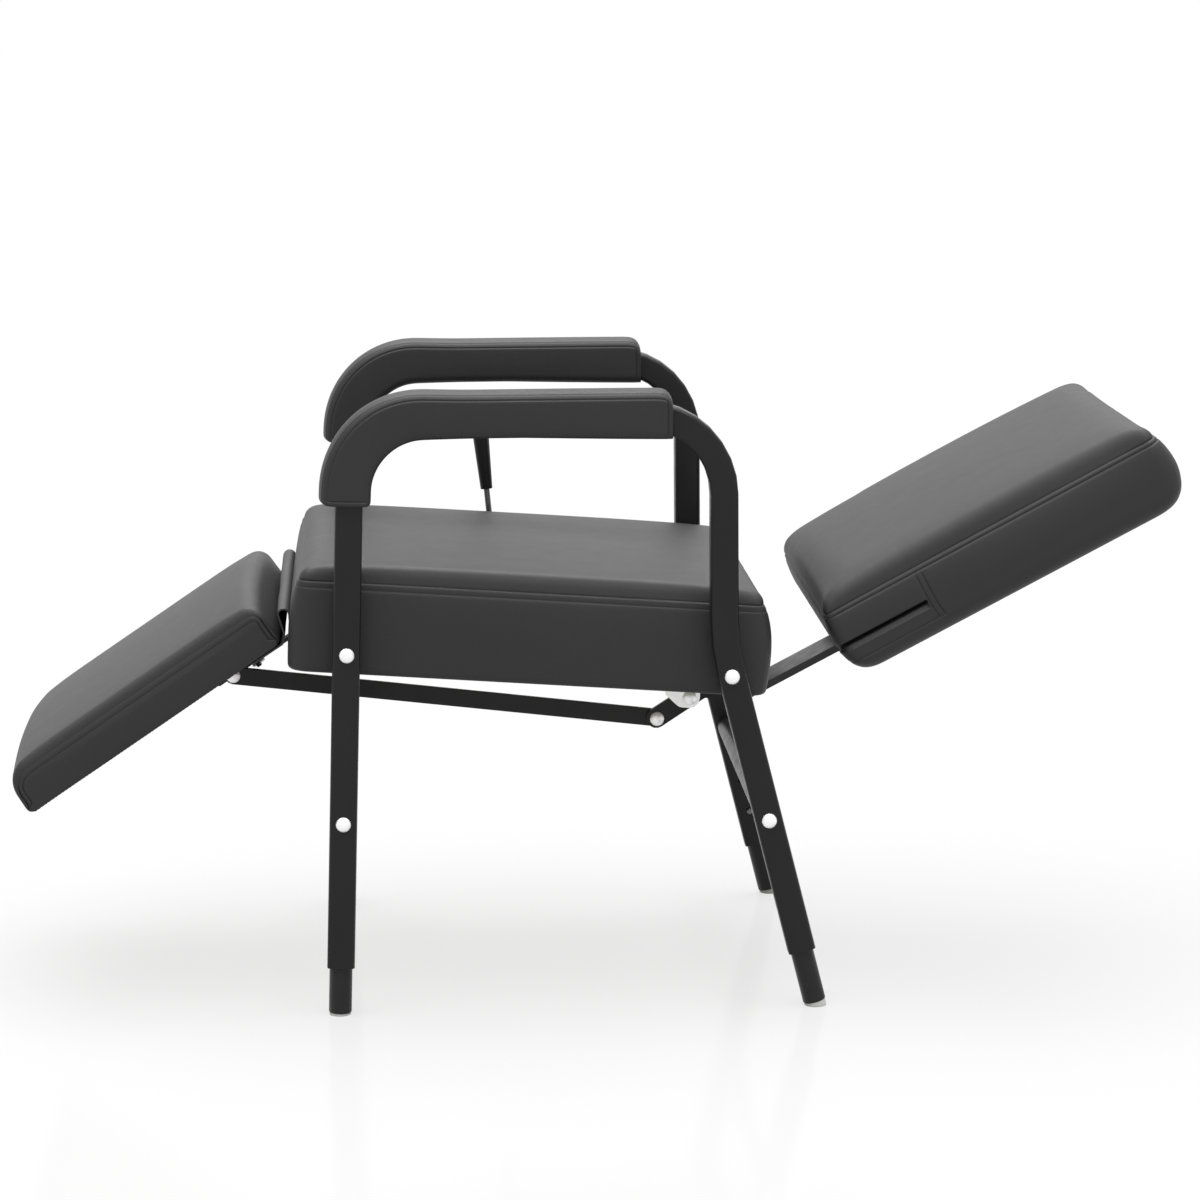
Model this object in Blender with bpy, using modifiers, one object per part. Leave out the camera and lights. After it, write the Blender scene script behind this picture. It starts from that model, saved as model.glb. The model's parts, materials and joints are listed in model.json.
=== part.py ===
"""Reclining shampoo chair.

Two bent-tube side frames carry a padded box seat. The backrest and the legrest hang on pivots under
the seat and move together through one link bar; a hand lever frees the lock that holds them.
Metres, +Z up, the sitter faces -X, and the sitter's left is -Y. The chair stands fully reclined.
Side-view places are (x, z) points, measured from the front foot on the floor.
"""

import math

import bmesh
import bpy
from mathutils import Matrix, Vector

# Fits
FIT_GAP = 0.0003
HOLE_PLAY = 0.0003

# Side frames: one bent square tube on each side
SEAT_TO_FRAME = 0.005
TUBE_SIZE = 0.030
TUBE_CORNER = 0.0045
TUBE_WALL = 0.0020
FRONT_LEAN = math.radians(1.85)
REAR_LEAN = math.radians(13.9)
POST_INSET = 0.0478
REAR_KICK = 0.0995
ARM_HEIGHT = 0.654
FRONT_BEND = 0.080
REAR_BEND = 0.086
KICK_BEND = 0.250
FRONT_TUBE_END = 0.054
REAR_TUBE_END = 0.063

# Height-adjustable feet
EXTENSION_DIAMETER = 0.025
EXTENSION_WALL = 0.0015
EXTENSION_LENGTH = 0.150
GLIDE_THICKNESS = 0.0025
GLIDE_STEM = 0.012
GLIDE_SETBACK = 0.0008
BUTTON_DIAMETER = 0.008
BUTTON_HEIGHT = 0.104
BUTTON_STAND = 0.0040
BUTTON_FLANGE = 0.0015
HOLE_PITCH = 0.040
LEAF_WIDTH = 0.006
LEAF_THICKNESS = 0.0008
LEAF_LENGTH = 0.030

# Cross tubes and frame bolts
CROSS_DIAMETER = 0.025
CROSS_WALL = 0.0020
CROSS_PLUG = 0.016
FRONT_CROSS_HEIGHT = 0.214
REAR_CROSS_HEIGHT = 0.210
BOLT_DIAMETER = 0.008
BOLT_HEAD_DIAMETER = 0.017
BOLT_HEAD_HEIGHT = 0.0048
BOLT_GRIP = 0.012
SEAT_BOLT_RISE = 0.0250
FRONT_SEAT_BOLT_X = 0.0135
REAR_SEAT_BOLT_SET = 0.0075

# Arm pads
PAD_WIDTH = 0.052
PAD_OVER = 0.0120
PAD_UNDER = 0.0068
PAD_CROWN = 0.0020
PAD_CORNER = 0.0095
PAD_FRONT_DROP = 0.094
PAD_REAR_GAP = 0.0555
PAD_END_ROUND = 0.009
PAD_END_SCALE = 0.80

# Seat
SEAT_OVERHANG = 0.0453
SEAT_FRONT_HEIGHT = 0.3784
SEAT_TILT = math.radians(4.1)
SEAT_LENGTH = 0.516
SEAT_WIDTH = 0.520
SEAT_SIDE = 0.098
SEAT_CROWN = 0.026
SEAT_BULGE = 0.003
SEAT_DRAW = 0.006
SEAT_SKIN = 0.012
SEAT_EDGE = 0.012
TRAY_HEIGHT = 0.055
TRAY_RAIL = 0.022
TRAY_BOARD = 0.012

# Back: pivot under the seat, measured along and across the reclined back
BACK_PIVOT_INSET = 0.0645
BACK_PIVOT_DROP = 0.0468
BACK_ANGLE = math.radians(27.5)
BACK_SWING = math.radians(46.0)
BACK_START = 0.175
BACK_HEIGHT = 0.413
BACK_WIDTH = 0.480
BACK_REAR = -0.0244
BACK_SIDE = 0.0767
BACK_CROWN = 0.034
BACK_BULGE = 0.003
BACK_DRAW = 0.006
BACK_EDGE = 0.016
BACK_SLOT = 0.005
BACK_SLOT_LENGTH = 0.122
BACK_BOARD = 0.012
BACK_BOARD_MARGIN = 0.028
BACK_BOARD_DEPTH = 0.0120
BAR_WIDTH = 0.070
BAR_THICKNESS = 0.008
BAR_START = 0.035
BAR_REACH = 0.605
BAR_SCREWS = (0.109, 0.400)
SCREW_DIAMETER = 0.006
SCREW_HEAD_DIAMETER = 0.012
SCREW_HEAD_HEIGHT = 0.0032

# Pivot pieces under the seat, stacked sideways from the middle
LINK_THICKNESS = 0.006
LINK_HEIGHT = 0.020
LINK_INNER_Y = 0.017
CRANK_THICKNESS = 0.005
EAR_THICKNESS = 0.004
SIDE_GAP = 0.0005
PIVOT_DIAMETER = 0.010
SLEEVE_DIAMETER = 0.016
CRANK_OFFSET = (-0.0373, -0.0243)
LINK_PLAY = 0.0012
EAR_LENGTH = 0.0395
EAR_ROUND = 0.0115
BRACKET_BASE = 0.004

# Legrest: hinge under the seat's front edge, measured along and across the raised legrest
LEGREST_PIVOT_LEAD = 0.0010
LEGREST_PIVOT_DROP = 0.0095
LINK_BOSS_OFFSET = (-0.0704, -0.0371)
LEGREST_ANGLE = math.radians(33.3)
LEGREST_START = -0.006
LEGREST_LENGTH = 0.328
LEGREST_WIDTH = 0.440
LEGREST_UNDER = 0.0328
LEGREST_SIDE = 0.0417
LEGREST_CROWN = 0.022
LEGREST_BULGE = 0.002
LEGREST_DRAW = 0.005
LEGREST_EDGE = 0.011
LEGREST_BOARD = 0.009
LEGREST_MARGIN = 0.016
ARM_WIDTH = 0.022
ARM_THICKNESS = 0.004
ARM_RISE = 0.0065
ARM_JOG = (0.100, 0.125)
ARM_REACH = 0.887
ARM_BOSS_DIAMETER = 0.016
KNUCKLE_DIAMETER = 0.014
HINGE_PIN_DIAMETER = 0.008
ARM_SCREWS = (0.506, 0.796)
STOP_LUG = (0.0475, 0.0527)
STOP_DROP = 0.0070
STOP_HEAD_DIAMETER = 0.006
STOP_SHANK_DIAMETER = 0.003
FLAP_WIDTH = 0.440
FLAP_SHEET = 0.0018
FLAP_LOOP = 0.0056
FLAP_LIP = 0.006
FLAP_CREST_OFFSET = (-0.0085, 0.0640)
FLAP_BASE_OFFSET = (-0.0080, 0.0418)
FLAP_HEEL = 0.0035
FLAP_FOOT = 0.040

# Mechanism rail under the seat
RAIL_INNER = 0.025
RAIL_SHEET = 0.003
RAIL_DEPTH = 0.0175
RAIL_TAIL = 0.115

# Lock: sliding rod in a barrel, freed by a push pin
LOCK_OFFSET = (-0.1882, 0.0392)
LOCK_TILT = math.radians(2.5)
LOCK_CRANK = 0.032
LOCK_CRANK_ANGLE = math.radians(67.0)
LOCK_BARREL_DIAMETER = 0.020
LOCK_HEAD_LENGTH = 0.024
LOCK_HEAD_OVER = 0.0130
LOCK_HEAD_UNDER = 0.0100
LOCK_LENGTH = 0.120
LOCK_PIN_RISE = 0.0075
LOCK_PIN_DIAMETER = 0.006
LOCK_ROD_DIAMETER = 0.008
LOCK_ROD_INSET = 0.050
LOCK_EYE_DIAMETER = 0.019
LOCK_EYE_WIDTH = 0.016
LOCK_EYE_DROP = 0.0005
LOCK_EYE_PLAY = 0.0022
LOCK_JOINT_DIAMETER = 0.008
RELEASE_DIAMETER = 0.004
RELEASE_DROP = 0.002
RELEASE_INSET = 0.0085
RELEASE_TRAVEL = 0.0030

# Hand lever on the sitter's right
LEVER_OFFSET = (-0.0165, -0.0087)
LEVER_LEAN = math.radians(5.5)
LEVER_STANDOFF = 0.013
LEVER_ROD_DIAMETER = 0.007
LEVER_BEND = 0.012
LEVER_INNER_END = 0.0185
LEVER_FINGER = 0.012
LEVER_FINGER_FACE = 0.0055
LEVER_FINGER_WIDTH = 0.010
GRIP_ROOM = 0.0315
GRIP_LENGTH = 0.098
GRIP_LOW_DIAMETER = 0.0142
GRIP_TOP_DIAMETER = 0.0210
GRIP_CAP = 0.014
LEVER_BRACKET_INSET = 0.038
LEVER_BRACKET_SHEET = 0.004

# Room cut in the seat's rear edge for the raised back bar and its cheeks, in back axes
SWING_ROOM = 0.003
NOTCH_REACH = 0.200
CHEEK_TOP = 0.082
CHEEK_FRONT = -0.006
CHEEK_SHOULDER = (0.062, -0.016)
CHEEK_ROUND = 0.006
CHEEK_FOOT_INSET = 0.005

# Padding: how late the crown falls off towards the seam
CROWN_POWER = 4
CROWN_STATION = 0.75

# Facets round a full turn
ROUND_SIDES = 16
HOLE_SIDES = 12

CHAIR = "shampoo_chair"
SIDES = {"left": -1, "right": 1}


# Places that follow from the sizes above

def on_seat(along, rise):
    """Side-view place of a point in the seat's tilted axes."""
    return (SEAT_X + along * math.cos(SEAT_TILT) + rise * math.sin(SEAT_TILT),
            SEAT_Z - along * math.sin(SEAT_TILT) + rise * math.cos(SEAT_TILT))


def beside(point, offset):
    return point[0] + offset[0], point[1] + offset[1]


SEAT_X = SEAT_LENGTH / 2.0 * math.cos(SEAT_TILT) - SEAT_OVERHANG
SEAT_Z = SEAT_FRONT_HEIGHT - SEAT_LENGTH / 2.0 * math.sin(SEAT_TILT)
BACK_PIVOT = on_seat(SEAT_LENGTH / 2.0 - BACK_PIVOT_INSET, -BACK_PIVOT_DROP)
LEGREST_PIVOT = on_seat(-SEAT_LENGTH / 2.0 - LEGREST_PIVOT_LEAD, -LEGREST_PIVOT_DROP)
LINK_REAR = beside(BACK_PIVOT, CRANK_OFFSET)
LINK_FRONT = beside(LEGREST_PIVOT, LINK_BOSS_OFFSET)
LOCK_START = beside(BACK_PIVOT, LOCK_OFFSET)
LEVER_PIVOT = beside(LOCK_START, LEVER_OFFSET)
POST_X = on_seat(SEAT_LENGTH / 2.0, 0.0)[0] - POST_INSET
FOOT_SPACING = POST_X + REAR_KICK
LEVER_Y = SEAT_WIDTH / 2.0 + LEVER_STANDOFF
LEVER_BRACKET_Y = SEAT_WIDTH / 2.0 - LEVER_BRACKET_INSET
PAD_LOW = ARM_HEIGHT - TUBE_SIZE / 2.0 - PAD_UNDER
GRIP_TOP = (PAD_LOW - GRIP_ROOM - LEVER_PIVOT[1]) / math.cos(LEVER_LEAN)
GRIP_START = GRIP_TOP - GRIP_LENGTH


def clear_scene():
    for item in list(bpy.data.objects):
        bpy.data.objects.remove(item, do_unlink=True)


def new_collection(name):
    collection = bpy.data.collections.new(name)
    bpy.context.scene.collection.children.link(collection)
    return collection


def finish(name, colour, roughness, metallic):
    shade = bpy.data.materials.new(name)
    shade.use_nodes = True
    shader = shade.node_tree.nodes["Principled BSDF"]
    shader.inputs["Base Color"].default_value = (*colour, 1.0)
    shader.inputs["Roughness"].default_value = roughness
    shader.inputs["Metallic"].default_value = metallic
    return shade


clear_scene()
PARTS = new_collection(CHAIR)
CUTTERS = new_collection(CHAIR + "_cutters")
VINYL = finish("black_vinyl", (0.045, 0.045, 0.046), 0.45, 0.0)
PAINT = finish("black_paint", (0.022, 0.022, 0.023), 0.35, 0.0)
ZINC = finish("zinc_plate", (0.82, 0.82, 0.83), 0.30, 1.0)
STEEL = finish("bright_steel", (0.62, 0.62, 0.63), 0.25, 1.0)
GRIP = finish("black_plastic", (0.020, 0.020, 0.020), 0.50, 0.0)
NYLON = finish("pale_nylon", (0.75, 0.75, 0.73), 0.50, 0.0)
WOOD = finish("plywood", (0.52, 0.38, 0.22), 0.70, 0.0)


# Frames to model in: an empty for the chair, and one on each tilted plane, leg and joint axis

def add_empty(name, point, turn=0.0, y=0.0, parent=None):
    """Empty at a side-view point; its X axis is turned by the angle from +X towards -Z."""
    empty = bpy.data.objects.new(name, None)
    empty.empty_display_size = 0.03
    empty.location = (point[0], y, point[1])
    empty.rotation_euler = (0.0, turn, 0.0)
    empty.parent = parent
    PARTS.objects.link(empty)
    return empty


def into(point, origin, turn):
    """A side-view point in the axes of a turned frame."""
    dx = point[0] - origin[0]
    dz = point[1] - origin[1]
    along = dx * math.cos(turn) - dz * math.sin(turn)
    across = dx * math.sin(turn) + dz * math.cos(turn)
    return along, across


ROOT = add_empty("chair_origin", (0.0, 0.0))
SEAT = add_empty("seat_plane", (SEAT_X, SEAT_Z), SEAT_TILT, parent=ROOT)
BACK = add_empty("recline_axis", BACK_PIVOT, -BACK_ANGLE, parent=ROOT)
LEGREST = add_empty("legrest_axis", LEGREST_PIVOT, -LEGREST_ANGLE, parent=ROOT)
LINK_TURN = math.atan2(LINK_FRONT[1] - LINK_REAR[1], LINK_REAR[0] - LINK_FRONT[0])
LINK = add_empty("link_axis", LINK_FRONT, LINK_TURN, parent=ROOT)
LEVER = add_empty("lever_axis", LEVER_PIVOT, parent=ROOT)
LOCK = add_empty("lock_axis", LOCK_START, LOCK_TILT, parent=ROOT)


def in_seat(point):
    return into(point, (SEAT_X, SEAT_Z), SEAT_TILT)


def in_back(point):
    return into(point, BACK_PIVOT, -BACK_ANGLE)


def in_legrest(point):
    return into(point, LEGREST_PIVOT, -LEGREST_ANGLE)


# Outlines

def arc(centre, radius, start, end, steps):
    points = []
    for i in range(steps + 1):
        angle = start + (end - start) * i / steps
        points.append((centre[0] + radius * math.cos(angle), centre[1] + radius * math.sin(angle)))
    return points


def circle(centre, radius, sides=HOLE_SIDES):
    return arc(centre, radius, 0.0, math.tau, sides)[:-1]


def fillet(before, corner, after, radius, step):
    """Arc that rounds one corner of an outline or path."""
    into_corner = (Vector(before) - Vector(corner)).normalized()
    out_of_corner = (Vector(after) - Vector(corner)).normalized()
    half = into_corner.angle(out_of_corner) / 2.0
    if radius <= 0.0 or half > math.radians(89.9):
        return [tuple(corner)]
    centre = Vector(corner) + (into_corner + out_of_corner).normalized() * (radius / math.sin(half))
    first = Vector(corner) + into_corner * (radius / math.tan(half)) - centre
    sweep = math.pi - 2.0 * half
    side = into_corner.x * out_of_corner.y - into_corner.y * out_of_corner.x
    turn = -sweep if side > 0.0 else sweep
    start = math.atan2(first.y, first.x)
    steps = max(2, math.ceil(sweep / step))
    return arc(centre, radius, start, start + turn, steps)


def rounded(corners, step=math.radians(30)):
    """Closed outline from (x, z, radius) corners."""
    points = []
    count = len(corners)
    for i, (x, z, radius) in enumerate(corners):
        before = corners[i - 1][:2]
        after = corners[(i + 1) % count][:2]
        points.extend(fillet(before, (x, z), after, radius, step))
    return points


def bent_path(corners, step=math.radians(12)):
    """Open path from (x, z, radius) corners; the first and last are its ends."""
    points = [corners[0][:2]]
    for i in range(1, len(corners) - 1):
        x, z, radius = corners[i]
        points.extend(fillet(corners[i - 1][:2], (x, z), corners[i + 1][:2], radius, step))
    points.append(corners[-1][:2])
    return points


# Meshes

def mesh_from_curve(curve):
    """Welded mesh of a curve drawn in its own XY plane, stood up in the XZ plane."""
    holder = bpy.data.objects.new("outline", curve)
    CUTTERS.objects.link(holder)
    bpy.context.view_layer.update()
    graph = bpy.context.evaluated_depsgraph_get()
    mesh = bpy.data.meshes.new_from_object(holder.evaluated_get(graph))
    bpy.data.objects.remove(holder, do_unlink=True)
    shape = bmesh.new()
    shape.from_mesh(mesh)
    bmesh.ops.remove_doubles(shape, verts=shape.verts, dist=1e-6)
    shape.transform(Matrix.Rotation(math.pi / 2.0, 4, "X"))
    bmesh.ops.recalc_face_normals(shape, faces=shape.faces)
    shape.to_mesh(mesh)
    shape.free()
    mesh.materials.clear()
    return mesh


def flat_curve(outlines, closed=True, scales=None):
    curve = bpy.data.curves.new("outline", "CURVE")
    curve.dimensions = "2D"
    for points in outlines:
        spline = curve.splines.new("POLY")
        spline.points.add(len(points) - 1)
        spline.use_cyclic_u = closed
        for i, (x, z) in enumerate(points):
            spline.points[i].co = (x, z, 0.0, 1.0)
            spline.points[i].radius = scales[i] if scales else 1.0
    return curve


def plate_mesh(outlines, thickness, y=0.0):
    """Flat plate in the XZ plane; outlines inside the first are holes."""
    curve = flat_curve(outlines)
    curve.fill_mode = "BOTH"
    curve.extrude = thickness / 2.0
    mesh = mesh_from_curve(curve)
    mesh.transform(Matrix.Translation((0.0, y, 0.0)))
    return mesh


def swept_mesh(path, profile, scales=None):
    """Closed profile carried along a path in the XZ plane, capped at both ends."""
    section = bpy.data.objects.new("section", flat_curve([profile]))
    section.data.fill_mode = "NONE"
    CUTTERS.objects.link(section)
    curve = flat_curve([path], closed=False, scales=scales)
    curve.bevel_mode = "OBJECT"
    curve.bevel_object = section
    curve.use_fill_caps = True
    mesh = mesh_from_curve(curve)
    bpy.data.objects.remove(section, do_unlink=True)
    return mesh


def ribbon_mesh(path, width):
    """Open strip, a path in the XZ plane drawn out sideways."""
    curve = flat_curve([path], closed=False)
    curve.fill_mode = "NONE"
    curve.extrude = width / 2.0
    return mesh_from_curve(curve)


def box_mesh(low, high):
    shape = bmesh.new()
    bmesh.ops.create_cube(shape, size=1.0)
    size = Vector(high) - Vector(low)
    centre = (Vector(high) + Vector(low)) / 2.0
    bmesh.ops.scale(shape, vec=size, verts=shape.verts)
    bmesh.ops.translate(shape, vec=centre, verts=shape.verts)
    mesh = bpy.data.meshes.new("box")
    shape.to_mesh(mesh)
    shape.free()
    return mesh


def rod_mesh(radius, start, end, sides=HOLE_SIDES):
    """Plain round rod between two points."""
    start = Vector(start)
    end = Vector(end)
    shape = bmesh.new()
    bmesh.ops.create_cone(shape, cap_ends=True, segments=sides, radius1=radius, radius2=radius,
                          depth=(end - start).length)
    turn = (end - start).to_track_quat("Z", "Y").to_matrix().to_4x4()
    shape.transform(Matrix.Translation((start + end) / 2.0) @ turn)
    mesh = bpy.data.meshes.new("rod")
    shape.to_mesh(mesh)
    shape.free()
    return mesh


def profile_mesh(points, closed=False):
    """Half section for turning: (radius, height) points, down the outer side."""
    shape = bmesh.new()
    verts = [shape.verts.new((radius, 0.0, height)) for radius, height in points]
    pairs = list(zip(verts, verts[1:]))
    if closed:
        pairs.append((verts[-1], verts[0]))
    for first, second in pairs:
        shape.edges.new((first, second))
    mesh = bpy.data.meshes.new("profile")
    shape.to_mesh(mesh)
    shape.free()
    return mesh


# Objects

def add_part(name, mesh, parent, shade, place=(0.0, 0.0, 0.0), turn=(0.0, 0.0, 0.0)):
    mesh.name = name
    part = bpy.data.objects.new(name, mesh)
    part.parent = parent
    part.location = place
    part.rotation_euler = turn
    if not mesh.materials:
        mesh.materials.append(shade)
    PARTS.objects.link(part)
    return part


def add_cutter(name, mesh, parent, place=(0.0, 0.0, 0.0), turn=(0.0, 0.0, 0.0)):
    cutter = bpy.data.objects.new(name, mesh)
    cutter.parent = parent
    cutter.location = place
    cutter.rotation_euler = turn
    cutter.hide_render = True
    cutter.display_type = "WIRE"
    CUTTERS.objects.link(cutter)
    return cutter


def combine(part, tool, operation):
    boolean = part.modifiers.new(tool.name, "BOOLEAN")
    boolean.operation = operation
    boolean.object = tool
    boolean.solver = "EXACT"


def cut(part, *tools):
    for tool in tools:
        combine(part, tool, "DIFFERENCE")


def join(part, *tools):
    for tool in tools:
        combine(part, tool, "UNION")


def turn_on_lathe(part, steps=ROUND_SIDES):
    screw = part.modifiers.new("turning", "SCREW")
    screw.axis = "Z"
    screw.angle = math.tau
    screw.steps = steps
    screw.render_steps = steps
    screw.use_merge_vertices = True
    screw.merge_threshold = 1e-5
    screw.use_smooth_shade = True


def across(side):
    """Turn that points a lathe axis at the chair's left (-1) or right (+1)."""
    return (-side * math.pi / 2.0, 0.0, 0.0)


def dome(radius, height, base, steps=3):
    """Domed head profile from its top on the axis down to its rim."""
    points = []
    for i in range(steps + 1):
        angle = math.pi / 2.0 * (1.0 - i / steps)
        points.append((radius * math.cos(angle), base + height * math.sin(angle)))
    return points


def headed_pin(name, head_radius, head_height, radius, length, parent, shade, place, turn, tail=None):
    """Turned pin: domed head above its seat plane, shank below, and an optional peened tail."""
    points = dome(head_radius, head_height, 0.0)
    points.append((radius, 0.0))
    if tail:
        points.extend([(radius, tail - length), (head_radius * 0.7, tail - length)])
        points.append((head_radius * 0.7, -length))
    else:
        chamfer = radius * 0.25
        points.extend([(radius, chamfer - length), (radius - chamfer, -length)])
    points.append((0.0, -length))
    pin = add_part(name, profile_mesh(points), parent, shade, place, turn)
    turn_on_lathe(pin)
    return pin


def cross_hole(name, radius, point, y_low, y_high, parent, sides=HOLE_SIDES):
    mesh = rod_mesh(radius, (point[0], y_low, point[1]), (point[0], y_high, point[1]), sides)
    return add_cutter(name, mesh, parent)


def soft_block(name, length, width, side, crown, bulge, draw, edge, parent, place):
    """Padded box: crowned top, sides that swell at mid height and a seam drawn in between corners."""
    half_length = length / 2.0
    half_width = width / 2.0
    shape = bmesh.new()
    bmesh.ops.create_cube(shape, size=2.0)
    for axis, half in enumerate((half_length, half_width, side / 2.0)):
        rim = 1.0 - edge / half
        stations = (-rim, -CROWN_STATION, 0.0, CROWN_STATION, rim) if axis < 2 else (-rim, 0.0, rim)
        normal = [0.0, 0.0, 0.0]
        normal[axis] = 1.0
        for station in stations:
            level = [0.0, 0.0, 0.0]
            level[axis] = station
            everything = shape.verts[:] + shape.edges[:] + shape.faces[:]
            bmesh.ops.bisect_plane(shape, geom=everything, plane_co=level, plane_no=normal)
    for vert in shape.verts:
        u, v, w = vert.co
        rise = (w + 1.0) / 2.0
        swell = bulge * (1.0 - w * w)
        vert.co.x = u * (half_length - bulge + swell * (1.0 - v ** 4) - draw * rise * (1.0 - v * v))
        vert.co.y = v * (half_width - bulge + swell * (1.0 - u ** 4) - draw * rise * (1.0 - u * u))
        vert.co.z = side * rise
        if w > 0.99:
            vert.co.z += crown * math.sqrt((1.0 - u ** CROWN_POWER) * (1.0 - v ** CROWN_POWER))
    mesh = bpy.data.meshes.new(name)
    shape.to_mesh(mesh)
    shape.free()
    mesh.shade_smooth()
    block = add_part(name, mesh, parent, VINYL, place)
    soften = block.modifiers.new("soft", "SUBSURF")
    soften.levels = 1
    soften.render_levels = 1
    return block


# Side frames

def front_leg_x(height):
    return height * math.tan(FRONT_LEAN)


def rear_leg_x(height):
    return FOOT_SPACING - height * math.tan(REAR_LEAN)


def frame_path(overrun=0.0):
    kick_height = (FOOT_SPACING - POST_X) / math.tan(REAR_LEAN)
    front_end = FRONT_TUBE_END - overrun
    rear_end = REAR_TUBE_END - overrun
    return bent_path([
        (front_leg_x(front_end), front_end, 0.0),
        (front_leg_x(ARM_HEIGHT), ARM_HEIGHT, FRONT_BEND),
        (POST_X, ARM_HEIGHT, REAR_BEND),
        (POST_X, kick_height, KICK_BEND),
        (rear_leg_x(rear_end), rear_end, 0.0),
    ])


def square_section(size, corner):
    half = size / 2.0
    return rounded([(-half, -half, corner), (half, -half, corner), (half, half, corner),
                    (-half, half, corner)], math.radians(45))


TUBE_INNER = TUBE_SIZE - 2.0 * TUBE_WALL
INNER_CORNER = max(TUBE_CORNER - TUBE_WALL, 0.001)
FRAME_Y = SEAT_WIDTH / 2.0 + SEAT_TO_FRAME + TUBE_SIZE / 2.0
FRAME_INNER_Y = FRAME_Y - TUBE_SIZE / 2.0
FRAME_OUTER_Y = FRAME_Y + TUBE_SIZE / 2.0
FRONT_CROSS = (front_leg_x(FRONT_CROSS_HEIGHT), FRONT_CROSS_HEIGHT)
REAR_CROSS = (rear_leg_x(REAR_CROSS_HEIGHT), REAR_CROSS_HEIGHT)
BOLT_RADIUS = BOLT_DIAMETER / 2.0
BUTTON_RADIUS = BUTTON_DIAMETER / 2.0
EXTENSION_RADIUS = EXTENSION_DIAMETER / 2.0
EXTENSION_BORE = EXTENSION_RADIUS - EXTENSION_WALL
LEGS = {"front": (0.0, FRONT_LEAN), "rear": (FOOT_SPACING, -REAR_LEAN)}
TRAY_HALF_LENGTH = SEAT_LENGTH / 2.0 - SEAT_SKIN - FIT_GAP
TRAY_HALF_WIDTH = SEAT_WIDTH / 2.0 - SEAT_SKIN - FIT_GAP


def seat_bolt_point(x):
    """Bolt centre a set rise above the seat's underside."""
    slope = math.tan(SEAT_TILT)
    return x, SEAT_Z - (x - SEAT_X) * slope + SEAT_BOLT_RISE / math.cos(SEAT_TILT)


SEAT_BOLTS = {"front": seat_bolt_point(FRONT_SEAT_BOLT_X),
              "rear": seat_bolt_point(POST_X + REAR_SEAT_BOLT_SET)}
CROSS_BOLTS = {"front": FRONT_CROSS, "rear": REAR_CROSS}
SEAT_BOLT_LENGTH = FRAME_OUTER_Y - TRAY_HALF_WIDTH + BOLT_GRIP
CROSS_BOLT_LENGTH = TUBE_SIZE + BOLT_GRIP


def build_side_frame(side_name, side):
    y = side * FRAME_Y
    outside = square_section(TUBE_SIZE, TUBE_CORNER)
    frame = add_part(side_name + "_side_frame", swept_mesh(frame_path(), outside), ROOT, PAINT, (0.0, y, 0.0))
    bore = add_cutter(side_name + "_tube_bore",
                      swept_mesh(frame_path(overrun=0.01), square_section(TUBE_INNER, INNER_CORNER)),
                      ROOT, (0.0, y, 0.0))
    cut(frame, bore)
    radius = BOLT_RADIUS + HOLE_PLAY
    for end, point in SEAT_BOLTS.items():
        reach = FRAME_OUTER_Y - SEAT_BOLT_LENGTH - FIT_GAP
        hole = cross_hole(f"{side_name}_{end}_seat_bolt_hole", radius, point,
                          side * (FRAME_OUTER_Y + BOLT_GRIP), side * reach, ROOT)
        cut(frame, hole)
    for end, point in CROSS_BOLTS.items():
        hole = cross_hole(f"{side_name}_{end}_cross_bolt_hole", radius, point,
                          side * (FRAME_OUTER_Y + BOLT_GRIP), side * (FRAME_INNER_Y - BOLT_GRIP), ROOT)
        cut(frame, hole)
    return frame


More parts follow.
